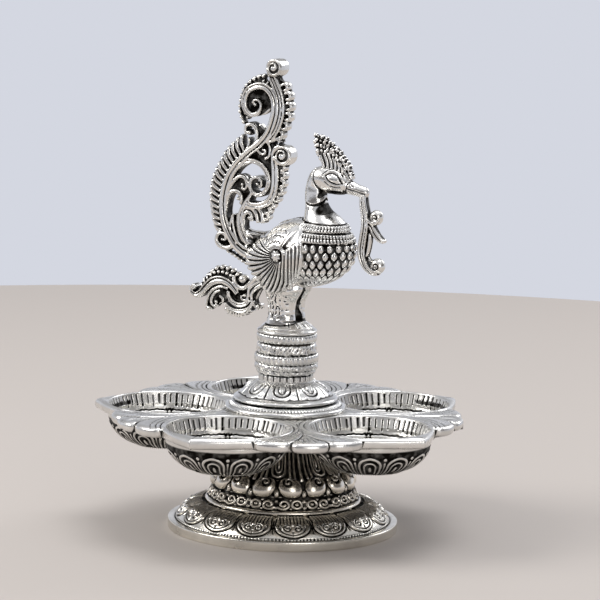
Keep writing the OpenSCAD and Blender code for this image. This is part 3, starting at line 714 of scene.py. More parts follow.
def tray_relief(x, y, edge):
    """Lines that follow the wells across the lobes, a lightly punched field on each, and the rounded edge."""
    side = np.abs(y)
    well = np.hypot(x - CUP_CIRCLE, y) - WELL_R
    turn = np.degrees(np.arctan2(side, x - CUP_CIRCLE))
    rho, bearing = np.hypot(x, y), np.degrees(np.arctan2(side, x))
    across = rho * np.radians(36 - bearing)
    rim = off_line(x, y, edge)
    beside = ramp(turn, 50, 56)
    bow = np.hypot(x - CUP_CIRCLE - 10.6, side + 5.3) - WELL_R - 15.6
    lobe = ramp(bow, -0.1, 0.4) * ramp(rho, 46, 48)
    h = -0.16 * ramp(well, 3.0, 3.3) * beside - 0.12 * lobe
    lines = np.minimum.reduce([cut(np.abs(well - 3.1), 0.4, 0.55),
                               cut(np.abs(bow), 0.42, 0.6) * ramp(rho, 44.5, 46.5),
                               cut(off_line(rho, across, [(27, 0), (45.8, 0)]), 0.4, 0.55),
                               cut(np.abs(well - 4.7), 0.28, 0.26) * (1 - lobe),
                               cut(np.abs(well - 6.6), 0.26, 0.18) * (1 - lobe)])
    rays = cuts(rho, across,
                [([(50.5 + 0.6 * place, place * 0.6), (59.4, place)], 0.26, 0.24) for place in (0.0, 2.1, 4.3)])
    inner = ramp(rim, 2.2, 3.2)
    h += (lines * beside * ramp(rim, 0.1, 0.8)
          + lobe * inner * np.minimum(rays, stipple(x, y, 1.1, 0.13) * (1 - ramp(rho, 54, 57))))
    h += cut(off_line(x, side, [(63, 0), (66, 0)]), 0.3, 0.15)
    return h - 1.5 * (1 - bulge(1 - np.clip(rim / 2.1, 0, 1)))


def make_tray():
    edge = tray_edge()
    corner = math.radians(CUP_TURN / 2)
    radii, turns = np.linspace(LOBE_R, HOLE_R, 84)[1:], np.linspace(corner, -corner, 11)[1:]
    border = np.array([(r * math.cos(corner), r * math.sin(corner)) for r in radii])
    hole = np.array([(HOLE_R * math.cos(a), HOLE_R * math.sin(a)) for a in turns])
    back = (border * [1, -1])[::-1][1:]
    loop = np.vstack([edge, border, hole, back])
    n, outer = len(loop), len(edge)
    middle = np.array([CUP_CIRCLE, 0.0])
    out = unit(loop - middle)
    lip = WELL_R + WELL_FLARE
    rows = [np.column_stack([middle + out * (lip + 0.75 - 0.75 * math.cos(a)),
                             np.full(n, TRAY_Z - 0.6 + 0.6 * math.sin(a))])
            for a in np.radians([0, 22, 45, 67])]
    share = np.linspace(0, 1, 36)
    share = 0.55 * share + 0.45 * (0.5 - 0.5 * np.cos(np.pi * share))
    start = middle + out * (lip + 0.75)
    for t in share:
        p = start + (loop - start) * t
        h = tray_relief(p[:, 0], p[:, 1], edge)
        h *= ramp(np.hypot(p[:, 0], p[:, 1]), 20.5, 21)
        rows.append(np.column_stack([p, TRAY_Z + h]))
    top = len(rows) - 1
    away = unit(np.gradient(edge, axis=0)[:, ::-1] * [1, -1])
    for z, inset in ((39.9, 0), (39.2, 0.05), (38.75, 0.3), (38.4, 0.65), (PLATE_Z, 1.15)):
        inner = loop.copy()
        inner[1:outer - 1] -= inset * away[1:-1]
        rows.append(np.column_stack([inner, np.full(n, z)]))
    under = len(rows) - 1
    for t in (0.5, 0.0):
        rows.append(np.column_stack([middle + out * WELL_R + (inner - middle - out * WELL_R) * t,
                                     np.full(n, PLATE_Z)]))
    quads = grid_quads(len(rows), n, False, True)
    row, column = np.divmod(np.arange(len(quads)), n)
    at_hole = outer - 1 + len(border)
    inside_border = ((column >= outer - 1) & (column < at_hole)) | (column >= at_hole + len(hole))
    quads = quads[~((row >= top) & (row < under) & inside_border)][:, ::-1]
    round_well = WELL_SLOTS * 9
    turn = round_turn(round_well)[None, :]
    z = np.linspace(PLATE_Z, TRAY_Z - 0.6, 15)[:, None]
    slots, high, low = slot_cut(turn, 0.4, 0.75)
    slots = (slots * (1 - ramp(z, 40.6 + 0.5 * high, 40.9 + 0.5 * high))
             * ramp(z, 36.4 + 1.6 * low, 36.8 + 1.6 * low))
    r = WELL_R + WELL_FLARE * (z - PLATE_Z) / (TRAY_Z - 0.6 - PLATE_Z) + slots
    wall = ring_points(r, turn, z) + [CUP_CIRCLE, 0, 0]
    quads = np.vstack([quads, grid_quads(15, round_well, False, True)[:, ::-1] + n * len(rows)])
    points = np.vstack(rows + [wall])
    form = weld(np.vstack([at_cup(points, k) for k in range(CUPS)]),
                np.vstack([quads + len(points) * k for k in range(CUPS)]))
    x, y, z = form[0].T
    # painted shade on the lower half of the tray's outer edge, as if it mirrored a dark table below
    oxide_and_shade = 0.22 * (1 - ramp(z, 38.9, 40.4)) * ramp(np.hypot(x, y), 58, 59)
    add_piece("petal_tray", form, "stand", TRAY_SILVER, "antique_silver", "tray_plate", oxide_and_shade=oxide_and_shade)


def cup_arches(x, v):
    x = x / np.abs(x).max(1, keepdims=True) * 4.7
    side = np.abs(x)
    outer = np.vstack([[(3.5, 6.4), (3.5, 13.2)], oval(0, 13.2, 3.5, 3.6, 0, 90, 12)])
    inner = np.vstack([[(2.0, 7.4), (2.0, 12.6)], oval(0, 12.6, 2.0, 2.2, 0, 90, 10)])
    arches = wires(side, v, ((outer, 0.6, 0.55), (inner, 0.45, 0.45), ([(4.7, 7.4), (4.7, 14.8)], 0.5, 0.5)))
    lines = np.maximum.reduce([arches, lump(side, v, 0, 10.8, 0.8, 2.2, 0.45),
                               lump(side, v, 4.7, 16.4, 0.7, 0.8, 0.5),
                               wire(np.abs(v - 5.2), 0.5, 0.5) * (0.7 + 0.3 * np.cos(x * 5.3))])
    return lines - 0.3 * ramp(v, 5.6, 6.6) * (1 - ramp(v, 16.9, 17.6))


def cup_inside(x, v):
    angle = x / np.maximum(np.abs(x).max(1, keepdims=True), 1e-6) * np.pi + np.pi
    slots, _, low = slot_cut(angle, 0.4, 0.75)
    wave = 0.12 * np.sin(angle * 23) + 0.08 * np.sin(angle * 61)
    h = (cut(np.abs(v - 2.6 - wave), 0.42, 0.5) + cut(np.abs(v - 4.3 - wave), 0.36, 0.42)
         + wire(np.abs(v - 3.45), 0.6, 0.2))
    h -= slots * ramp(PLATE_Z - 0.98 * v, 36.4 + 1.6 * low, 36.8 + 1.6 * low)
    mark = ((np.degrees(angle) - 64) / 72 + 0.5) % 1 - 0.5
    mark = mark * math.radians(72) * 18.4
    h += cuts(np.abs(mark), v, (([(0.25, 2.2), (1.1, 4.7)], 0.34, 0.6), ([(1.2, 2.3), (0.1, 4.6)], 0.34, 0.6)))
    return h + stipple(x, v, 1.2, 0.2) * ramp(v, 4.8, 5.4) * (1 - ramp(v, 9, 11))


def make_cups():
    base = [(0, -11.2), (5.6, -11.2), (6.1, -11)]
    bowl = smooth_line([(6.1, -11), (10.9, -10.5), (14.6, -9.2), (17.7, -7), (19.8, -4.3), (20.7, -1.7),
                        (20.9, 0)], 8)
    rim = [(20.9, 0), (WELL_R, 0)]
    well = smooth_line([(WELL_R, 0), (19.15, -1.5), (18.1, -3.6), (16.15, -6), (13.4, -7.86), (9.6, -8.9),
                        (4.5, -9.35), (0, -9.4)], 8)
    sections = [(base, 2), (bowl, 0.27, 12, cup_arches), (rim, 0.8), (well, 0.27, 1, cup_inside)]
    points, quads, tris = turned(sections, 12 * 44, closed=False)
    # painted shade over the whole outside of each cup, standing for a dark table mirrored below, together with
    # oxide on its unpolished outside
    middle_of_wall = np.interp(points[:, 2], [-11.2, -10.6, -9.2, -7, -4.3, 0],
                               [-1, 10, 13.6, 16.6, 18.7, 19.7])
    outside = np.hypot(points[:, 0], points[:, 1]) > middle_of_wall
    for k in range(CUPS):
        form = at_cup(points + [CUP_CIRCLE, 0, PLATE_Z], k), quads, tris
        add_piece("lotus_cup_%d" % (k + 1), form, "stand", CUP_SILVER, "antique_silver", "oil_cup_%d" % (k + 1),
                  oxide_and_shade=0.22 * outside)


# steel that pulls the stack together, and the washer under the bird's plinth

def plain_finish(name, colour, metallic, roughness, grain):
    m, t, skin = new_finish(name)
    skin.inputs["Metallic"].default_value = metallic
    place = new_node(t, "ShaderNodeTexCoord")
    noise = new_node(t, "ShaderNodeTexNoise", {"Scale": grain, "Detail": 4})
    tint = new_node(t, "ShaderNodeValToRGB")
    tint.color_ramp.elements[0].color = (*[c * 0.7 for c in colour], 1)
    tint.color_ramp.elements[1].color = (*colour, 1)
    dull = new_node(t, "ShaderNodeMapRange", {"To Min": roughness, "To Max": roughness + 0.2})
    link_all(t,
             ((place, "Object", noise, "Vector"), (noise, "Fac", tint, "Fac"),
              (tint, "Color", skin, "Base Color"), (noise, "Fac", dull, "Value"),
              (dull, "Result", skin, "Roughness")))
    return m


TIE_STEEL = plain_finish("tie_steel", (0.56, 0.56, 0.57), 1.0, 0.28, 900)
WASHER_FIBRE = plain_finish("washer_fibre", (0.07, 0.055, 0.045), 0.0, 0.6, 2500)


def make_stud():
    low, high, pitch = 10.3, 70.4, 1.0
    z = np.linspace(low, high, 482)[:, None]
    sides = 28
    angle = round_turn(sides)[None, :]
    tooth = np.abs(((z / pitch - angle / (2 * np.pi)) % 1) * 2 - 1)
    end = np.minimum(z - low, high - z) + 2.2
    r = np.minimum(STUD_R - 0.5 * np.clip(1.25 * tooth - 0.1, 0, 1), end)
    z = np.vstack([[[low]], z, [[high]]])
    r = np.vstack([0 * r[:1], r, 0 * r[:1]])
    form = weld(ring_points(r, angle, z), grid_quads(len(z), sides, False, True))
    add_piece("threaded_stud", form, "stand", TIE_STEEL, "tie_steel", "tie_stud")


def make_nut():
    low, high, flat = 10.9, 14.9, 4.988
    sides = 96
    angle = round_turn(sides)
    hexagon = flat / np.cos((angle % (np.pi / 3)) - np.pi / 6)
    rows = np.array([(3.05, low + 0.4), (3.4, low), (5.0, low), (5.25, low + 0.16), (5.5, low + 0.34),
                     (5.8, low + 0.55), (5.8, high - 0.55), (5.5, high - 0.34), (5.25, high - 0.16),
                     (5.0, high), (3.4, high), (3.05, high - 0.4)])
    points = ring_points(np.minimum(hexagon, rows[:, :1]), angle, rows[:, 1:])
    form = weld(points, grid_quads(len(rows), sides, True, True))
    add_piece("hex_nut", form, "stand", TIE_STEEL, "tie_steel", "tie_nut")


def make_washers():
    flat = eased([(HOLE_R, 15.5), (HOLE_R, 14.9), (6.6, 14.9), (6.6, 16.1), (HOLE_R, 16.1), (HOLE_R, 15.5)],
                 0.18)
    add_piece("plain_washer", turned([(flat, 0.8)], 96), "stand", TIE_STEEL, "tie_steel", "tie_washer")
    thin = eased(raised(WASHER_Z, [(3.05, 0.3), (3.05, 0), (8.4, 0), (8.4, 0.6), (3.05, 0.6), (3.05, 0.3)]),
                 0.12)
    add_piece("fibre_washer", turned([(thin, 0.8)], 128), "seat", WASHER_FIBRE, "washer_fibre", "seat_washer")


def make_plinth():
    foot = eased(raised(PLINTH_Z, [(3.05, 0), (9.3, 0), (9.6, 0.05)]), 0.05)
    ring = eased(raised(PLINTH_Z,
                        [(9.6, 0.05), (10.1, 0.3), (10.3, 0.9), (10.3, 2.1), (10.1, 2.65), (9.8, 2.8)]), 0.3)
    top = eased(raised(PLINTH_Z,
                       [(9.8, 2.8), (9.8, 3), (10.2, 3.15), (10.45, 3.5), (10.45, 3.9), (10.1, 4.2),
                        (9.2, 4.75), (8.8, 5), (5, 5), (3.4, 6.8)]), 0.25)
    bore = raised(PLINTH_Z, [(3.4, 6.8), (0, 6.8), (0, 4.9), (3.05, 4.9), (3.05, 0)])
    form = turned([(foot, 3), (ring, 0.2, 40, rope(40, -0.12, 0.2)), (top, 0.4), (bore, 4)], 480)
    add_piece("ringed_plinth", form, "bird", COLLAR_SILVER, "antique_silver", "bird_plinth")


# bird

TRUNK = np.array([[0, -19.6], [2.4, -19.2], [4.6, -17.8], [6.8, -15.2], [8.9, -11.8], [10.6, -7.6], [11.7, -3],
                  [12.1, 2], [11.8, 6.8], [10.7, 11], [8.9, 14.4], [6.6, 17], [3.8, 18.9], [0, 19.6]])
TRUNK_X, TRUNK_Z, TILT = 5.5, 97, math.radians(12)


def along_trunk(x, z):
    """Place along the trunk and height above its axis."""
    x, z = x - TRUNK_X, z - TRUNK_Z
    return x * math.cos(TILT) + z * math.sin(TILT), -x * math.sin(TILT) + z * math.cos(TILT)


def trunk_shell(sides=64):
    p = smooth_line(TRUNK, 3)[1:-1]
    p[:, 0] = np.maximum(p[:, 0], 0.3)
    a = round_turn(sides)
    r, s = p[:, :1], p[:, 1:]
    x = TRUNK_X + s * math.cos(TILT) - r * np.sin(a) * math.sin(TILT)
    z = TRUNK_Z + s * math.sin(TILT) + r * np.sin(a) * math.cos(TILT)
    return capped(np.stack([x, np.broadcast_to(r * np.cos(a), x.shape), z], -1))


def breast_scales(x, y, z):
    """Rows of bulging shields on the breast, with dark gaps between them, that fade out on the belly."""
    reach = np.hypot(x - 9.5, y)
    count, ground = 28, -0.55
    turn = np.arctan2(y, x - 9.5) * count / (2 * np.pi)
    best = np.full(x.shape, ground)
    for row in range(6):
        u = turn + 0.5 * (row % 2)
        across = np.abs(u - np.round(u)) * 2 * np.pi * np.clip(reach, 8, 13) / count
        down = z - (100.2 - 2.75 * row + 0.05 * (x - 12))
        if row:
            gap = (across / 1.14) ** 1.5 + (np.abs(down + 0.25) / 1.68) ** 1.5
        else:
            gap = (across / np.clip(0.95 - 0.25 * down / 1.7, 0.5, 1.2)) ** 2 + (down / 1.75) ** 2
        best = np.maximum(best, 1.05 * np.sqrt(np.clip(1 - gap, 0, 1)) + ground)
    s, _ = along_trunk(x, z)
    here = (ramp(s, 1.2, 2.8) * (0.25 * ramp(z, 86.4, 88) + 0.75 * ramp(z, 89.5, 93))
            * (1 - ramp(z, 101.9, 102.3)))
    return best * here


def body_relief(p):
    x, y, z = p[:, 0], p[:, 1], p[:, 2]
    side = np.abs(y)
    h = breast_scales(x, y, z)
    lean = z + 0.04 * (x - 12)
    turn = np.arctan2(y, x - 11)
    front = ramp(x, 2, 6)
    for low, high, slant, ticks in ((102.4, 105.3, 0.0, 64), (106.0, 108.2, -0.7, 58)):
        band = ramp(lean, low, low + 0.3) * (1 - ramp(lean, high - 0.3, high))
        tick = np.abs(((turn * ticks / (2 * np.pi) + slant * (lean - low) / (high - low)) % 1) - 0.5) * 2
        h += front * band * (0.4 - 0.62 * (1 - ramp(tick, 0.1, 0.6)))
    for level, half, depth in ((102, 0.4, 0.55), (103.9, 0.26, 0.4), (105.65, 0.4, 0.55), (107.1, 0.2, 0.3),
                               (108.6, 0.34, 0.45)):
        h += front * cut(np.abs(lean - level), half, depth)
    fold = z - (116.5 - 0.55 * side)
    neck = ramp(z, 111, 112) * (1 - ramp(x, 14.5, 16.5))
    h += neck * (cut(np.abs(fold), 0.42, 0.55) + 0.32 * ramp(fold, 0.1, 0.6) * (1 - ramp(z, 118.5, 121)))
    head = ramp(side, 0.8, 1.7)
    lines = ((0.42, 0.6,
              [(10.3, 126.8), (10.4, 124.6), (10.9, 122.4), (12, 120.6), (13.4, 119.4), (14.6, 118.8)]),
             (0.36, 0.5, [(15.3, 125), (16.6, 125.8), (18.2, 125.7), (19.9, 124.5), (21.5, 122.4)]),
             (0.34, 0.45, [(15.3, 125), (16.2, 123.6), (17.8, 122.7), (19.6, 122.2), (21.5, 122.4)]),
             (0.3, 0.4, [(14.2, 125), (15.4, 126.6), (17.3, 127.1), (19.4, 126.5), (21, 124.9)]),
             (0.26, 0.3, [(15.2, 123), (16.8, 121.7), (19, 121.1), (21, 121.2)]))
    for half, depth, line in lines:
        h += head * cut(off_line(x, z, smooth_line(line, 6)), half, depth)
    h += head * lump(x + 0.45 * (z - 124), z, 18.4, 124, 2.1, 1.2, 0.42)
    brow = smooth_line([(14.7, 125.2), (16, 126.3), (17.8, 126.4), (19.8, 125.5), (21.4, 123.7)], 6)
    h += head * wire(off_line(x, z, brow), 0.4, 0.3)
    h += cut(off_line(x, z, [(22.8, 120.7), (26, 120.1), (29.3, 119.3)]), 0.32, 0.42) * ramp(side, 0.3, 0.6)
    cere = smooth_line([(24.4, 124), (23.1, 122.6), (22.7, 121.2), (22.2, 119.8), (21.2, 118.6)], 5)
    h += cut(off_line(x, z, cere), 0.28, 0.32) * ramp(side, 0.2, 0.5)
    h += head * cut(off_line(x, z, [(24.2, 121.9), (25.2, 121.5)]), 0.3, 0.35)
    s, q = along_trunk(x, z)
    belly = ramp(-q, 7, 9) * (1 - ramp(z, 86, 88))
    return h + belly * cut(np.abs((s % 3.2) - 1.6 - 0.1 * side), 0.3, 0.1)


def make_body():
    neck = [[12.6, 0, 104.6, 9.9], [12.5, 0, 106, 9.3], [12.1, 0, 107.6, 7.8], [11.5, 0, 109.3, 6.3],
            [10.9, 0, 111.2, 5.15], [10.3, 0, 114, 4.1], [9.9, 0, 117.5, 3.55], [10.1, 0, 120.8, 3.7],
            [11.8, 0, 123.4, 4.2], [14.5, 0, 123.1, 4.35], [17.5, 0, 122.5, 4.3], [20, 0, 121.9, 3.8],
            [21.8, 0, 121.4, 3.1]]
    bill = [[20.8, 0, 121.7, 2.9], [23, 0, 121.1, 2.4], [25.5, 0, 120.4, 2.0], [28, 0, 119.8, 1.95],
            [29.2, 0, 119.55, 1.65], [29.9, 0, 119.45, 1.1], [30.1, 0, 119.4, 0.4]]
    root = [[-1, 0, 98.8, 6.4], [-6, 0, 99.4, 4.8], [-10.5, 0, 99.8, 3.6], [-14.5, 0, 101, 2.6],
            [-17, 0, 102.6, 1.8]]
    points, quads, tris = fuse([trunk_shell(), tube(neck, 40), tube(root, 32), tube(bill, 28, 1.05)], 0.24, 5)
    out = facing(points, quads, tris)
    x, z = points[:, 0], points[:, 2]
    # painted shadow on the front of the neck under the head and painted shade under the cheek; also darker low
    # on the belly's front and on the breast's front below the neck rings
    oxide_and_shade = 0.15 * ramp(x, 10.4, 13) * (1 - ramp(z, 119, 120.4)) * ramp(z, 109.5, 113.5)
    oxide_and_shade += 0.03 * (1 - ramp(z, 86, 92)) * ramp(x, 3, 6)
    oxide_and_shade += (0.13 * ramp(x, 15, 18.5) * (1 - ramp(x, 21.4, 22.6)) * (1 - ramp(z, 119.6, 121.6))
             * ramp(z, 117, 118))
    oxide_and_shade += 0.05 * ramp(x, 15.5, 20) * (1 - ramp(z, 103, 106))
    points = points + out * body_relief(points)[:, None]
    add_bird_piece("bird_casting", points, quads, tris, BIRD_SILVER, "bird_body", oxide_and_shade)


# bearings of the wing's edge, from the first long feather to the last, and the share of the feathers up to each
FEATHER_TURNS, FEATHER_SHARES = [154, 246, 293], [0, 0.6, 1]


def wing_reach(turn):
    """How far the wing reaches from the middle of its rosette, by bearing."""
    angle = [-66, -37, -11, 18, 43, 54, 60, 75, 90, 112, 130, 144, 150, 153, 156, 160, 177, 192, 216, 236, 255,
             276, 294]
    reach = [11.0, 10.0, 10.2, 10.3, 11.1, 12.8, 13.5, 12.6, 11.8, 10.9, 9.6, 9, 10.7, 12.2, 14.2, 17.6, 16.9,
             16, 15.3, 15.3, 14.8, 13.0, 11.0]
    return np.interp((turn + 66) % 360 - 66, angle, reach)


def feather_lines(cx, cz, count):
    """Lines between the long feathers, from the rosette and the smooth band down to the wing's edge."""
    band = smooth_line([(cx + 0.6, cz - 2.2), (cx + 2.4, cz - 0.8), (cx + 4.6, cz + 1.6), (cx + 6.6, cz + 4.2),
                        (cx + 8.4, cz + 6.6)], 6)
    lines, turn_at = [], FEATHER_SHARES[1]
    for k in range(count + 1):
        f = k / count
        low = np.radians(np.interp(f, FEATHER_SHARES, FEATHER_TURNS))
        end = np.array([cx, cz]) + wing_reach(np.degrees(low)) * 1.02 * np.array([np.cos(low), np.sin(low)])
        if f < turn_at:
            a = np.radians(np.interp(f, [0, turn_at], [158, 285]))
            start = np.array([cx + 2.2 * np.cos(a), cz + 2.2 * np.sin(a)])
        else:
            start = band[int((f - turn_at) / 0.4 * (len(band) - 1))]
        way = end - start
        bend = np.array([-way[1], way[0]]) * (0.1 if f < turn_at else 0.1 + 0.16 * (f - turn_at) / 0.4)
        t = np.linspace(0, 1, 8)[:, None]
        lines.append((1 - t) ** 2 * start + 2 * t * (1 - t) * ((start + end) / 2 + bend) + t * t * end)
    return lines


def make_wing(side):
    cx, cz, n, rows, feathers = 1.7, 97.0, 480, 64, 17
    turn = np.linspace(30, 390, n, endpoint=False)[None, :]
    share = np.linspace(0, 1, rows)[:, None]
    along = np.interp(turn, FEATHER_TURNS, FEATHER_SHARES) * feathers
    off = np.abs(along - np.floor(along) - 0.5) * 2
    tips = ramp(turn, 152, 156) * (1 - ramp(turn, 290, 294))
    reach = wing_reach(turn) - 0.9 * tips * (off ** 2) * ramp(share, 0.7, 1)
    rho = 0.3 + (reach - 0.3) * share
    a = np.radians(turn)
    x, z = cx + rho * np.cos(a), cz + rho * np.sin(a)
    s, q = along_trunk(x, z)
    girth = np.interp(s, TRUNK[:, 1], TRUNK[:, 0])
    spread = 3 + 2 * ramp(rho, 8, 15) * ramp(turn, 165, 200)
    base = np.sqrt(np.maximum(girth ** 2 - q ** 2, 0) + spread ** 2)
    thigh = [np.interp(z, [80, 82.4, 84.2], w) for w in ([5.3, 5.9, 6.6], [3.7, 4.1, 4.4])]
    over = 4 + thigh[1] * bulge((x + 0.45) / thigh[0])
    over = (over + 1.7 * ramp(z, 84, 91)) * (1 - ramp(z, 91, 95))
    base = 0.5 * (base + over + np.sqrt((base - over) ** 2 + 0.5 * (1 - ramp(z, 90, 95))))
    edge = reach - rho
    lift = 1.35 * bulge(1 - np.clip(edge / 1.3, 0, 1))
    gap = np.minimum.reduce([off_line(x, z, line) for line in feather_lines(cx, cz, feathers)])
    feathered = ramp(turn, 151, 155) * (1 - ramp(turn, 386, 390)) * ramp(rho, 2.3, 3)
    deep = np.interp(turn, [150, 240, 300], [0.62, 0.6, 0.42]) * (0.5 + 0.5 * ramp(rho, 3, 7))
    h = feathered * (0.4 * ramp(gap, 0.05, 0.75) - deep * (1 - ramp(gap, 0.08, 0.3)))
    h -= 0.7 * bulge((turn - 45) / 12) * ramp(rho, 2.6, 4.5)
    pad = ramp(turn, 60, 66) * (1 - ramp(turn, 147, 151))
    h += pad * 0.6 * np.sin(np.pi * np.clip(rho / reach, 0, 1))
    fan = np.minimum.reduce([np.abs(rho - r - 0.5 * np.abs(np.sin(a * 11 + r))) for r in (4.6, 6.5, 8.4)])
    h += pad * cut(fan, 0.3, 0.28) * ramp(turn, 66, 72)
    petal = np.abs(((turn / 45) % 1) - 0.5) * 2
    rosette = 0.6 * (1 - ramp(rho + 0.7 * petal, 1.6, 2.4)) + lump(rho, 0 * rho, 0, 0, 0.6, 1, 0.35)
    h += rosette - 0.2 * (1 - ramp(np.abs(rho - 2.3), 0.1, 0.5))
    y = base + lift + np.where(edge > 0.15, h, 0) - 0.25
    outer = np.stack([x, y, z], -1)
    inner = np.stack([x, base - 1.2, z], -1)[::-1]
    form = np.concatenate([outer, inner[[0, -1]]])
    form[-1] = form[-1].mean(0)
    form[0] = form[0].mean(0)
    points = form.reshape(-1, 3).copy()
    points[:, 1] *= side
    points[:, 2] += BIRD_SINK
    # painted shade along the front of the wing's edge, in the crease where it stands over the body
    front = (1 - ramp(turn, 54, 66)) + ramp(turn, 276, 294)
    oxide_and_shade = 0.16 * front * (1 - ramp(edge, 0.1, 0.55))
    oxide_and_shade = np.concatenate([oxide_and_shade, oxide_and_shade[-1:], oxide_and_shade[:1]]).reshape(-1)
    quads = grid_quads(rows + 2, n, False, True)
    if side < 0:
        quads = quads[:, ::-1]
    form, quads, tris = weld(np.column_stack([points, oxide_and_shade]), quads)
    hand = "left" if side > 0 else "right"
    add_piece("wing_casting_" + hand, (form[:, :3], quads, tris), "bird", BIRD_SILVER, "antique_silver",
              "bird_wing_" + hand, oxide_and_shade=form[:, 3])


def make_leg(side):
    """Stout oval leg on its half of the mound, parted from the other at the middle plane, with tufts behind."""
    a = round_turn(80)
    shank = evenly(smooth_line([(70.8, 5.9, 4.3), (72.5, 5.5, 4), (74.6, 5.15, 3.7), (76.8, 4.95, 3.5),
                                (80, 5.3, 3.7), (82.4, 5.9, 4.1), (84.2, 6.4, 4.4), (86, 6.4, 3.8),
                                (87.4, 5.8, 2.4), (88, 5.2, 1.2)], 6), 0.4)
    mound = smooth_line([(9.3, 70.8), (9.15, 71.05), (8, 71.9), (6.9, 72.6), (5.4, 73.1), (0.2, 73.3)], 5)
    shells = []
    for line, x0, y0, wide in ((shank[:, 1:], -0.45, 3.6, 0), (mound[:, :1], 0, 0, 1)):
        z = shank[:, :1] if not wide else mound[:, 1:]
        x = x0 + line[:, :1] * np.cos(a) * (1 + 0.22 * ramp(z, 79, 86) * np.clip(np.cos(a), 0, 1))
        y = np.maximum(y0 + line[:, -1:] * np.sin(a), 0.06)
        shells.append(capped(np.stack([x, y, np.broadcast_to(z, x.shape)], -1)))
    points, quads, tris = fuse(shells, 0.2, 3)
    out = facing(points, quads, tris)
    x, y, z = points[:, 0] + 0.45, points[:, 1], points[:, 2]
    h = np.zeros(len(points))
    for row in range(7):
        for k in range(6):
            cx = -5.6 + 1.35 * k + 0.9 * (scatter(row, k) - 0.5)
            cz = 74.6 + 1.75 * row + 1.1 * (scatter(k + 3, row) - 0.5)
            lean = 1.7 * (scatter(row + 5, k + 2) - 0.4)
            near = np.where((np.abs(x - cx) < 1.6) & (np.abs(z - cz) < 1.6))[0]
            stroke = off_line(x[near], z[near],
                              [(cx - lean * 0.5, cz + 0.5), (cx + 0.1, cz), (cx + lean * 0.4, cz - 0.45)])
            tuft = cut(stroke, 0.32, 0.5) * (1 - ramp(cx, 0.2, 1.6)) * ramp(z[near], 73.8, 74.6)
            h[near] = np.minimum(h[near], tuft)
    reach, bearing = np.hypot(x - 0.45, y), np.degrees(np.arctan2(y, x - 0.45))
    low = 1 - ramp(z, 72.4, 73.2)
    for toe in (14, 34, 58):
        gap = np.abs(np.radians(bearing - toe)) * reach
        h += low * cut(gap, 0.3, 0.45) * ramp(reach, 5.6, 6.2) * (1 - ramp(reach, 8.3, 8.9))
    h += (cut(np.abs(z - 73.5), 0.3, 0.3) * ramp(x, 1, 3)
          + stipple(x + 0.6 * y, z, 1.6, 0.1) * ramp(z, 74.2, 75.4))
    points = points + out * h[:, None] * (y > 0.3)[:, None]
    # painted shade near the middle plane, where one leg hides the other, and less oxide along the front of the
    # crease at the foot
    foot = 1 - ramp(z, 74.6, 77.6)
    oxide_and_shade = 0.3 * (1 - ramp(y - 1.1 * foot, 0.8, 2.0)) * ramp(z, 73.2, 74)
    oxide_and_shade -= 0.14 * (1 - ramp(np.abs(z - 73.4), 0.4, 1.4)) * (1 - ramp(x, 1.5, 3.5)) * ramp(y, 1.5, 2.5)
    points[:, 1] *= side
    if side < 0:
        quads, tris = quads[:, ::-1], tris[:, ::-1]
    hand = "left" if side > 0 else "right"
    add_bird_piece("leg_casting_" + hand, points, quads, tris, BIRD_SILVER, "bird_leg_" + hand, oxide_and_shade)


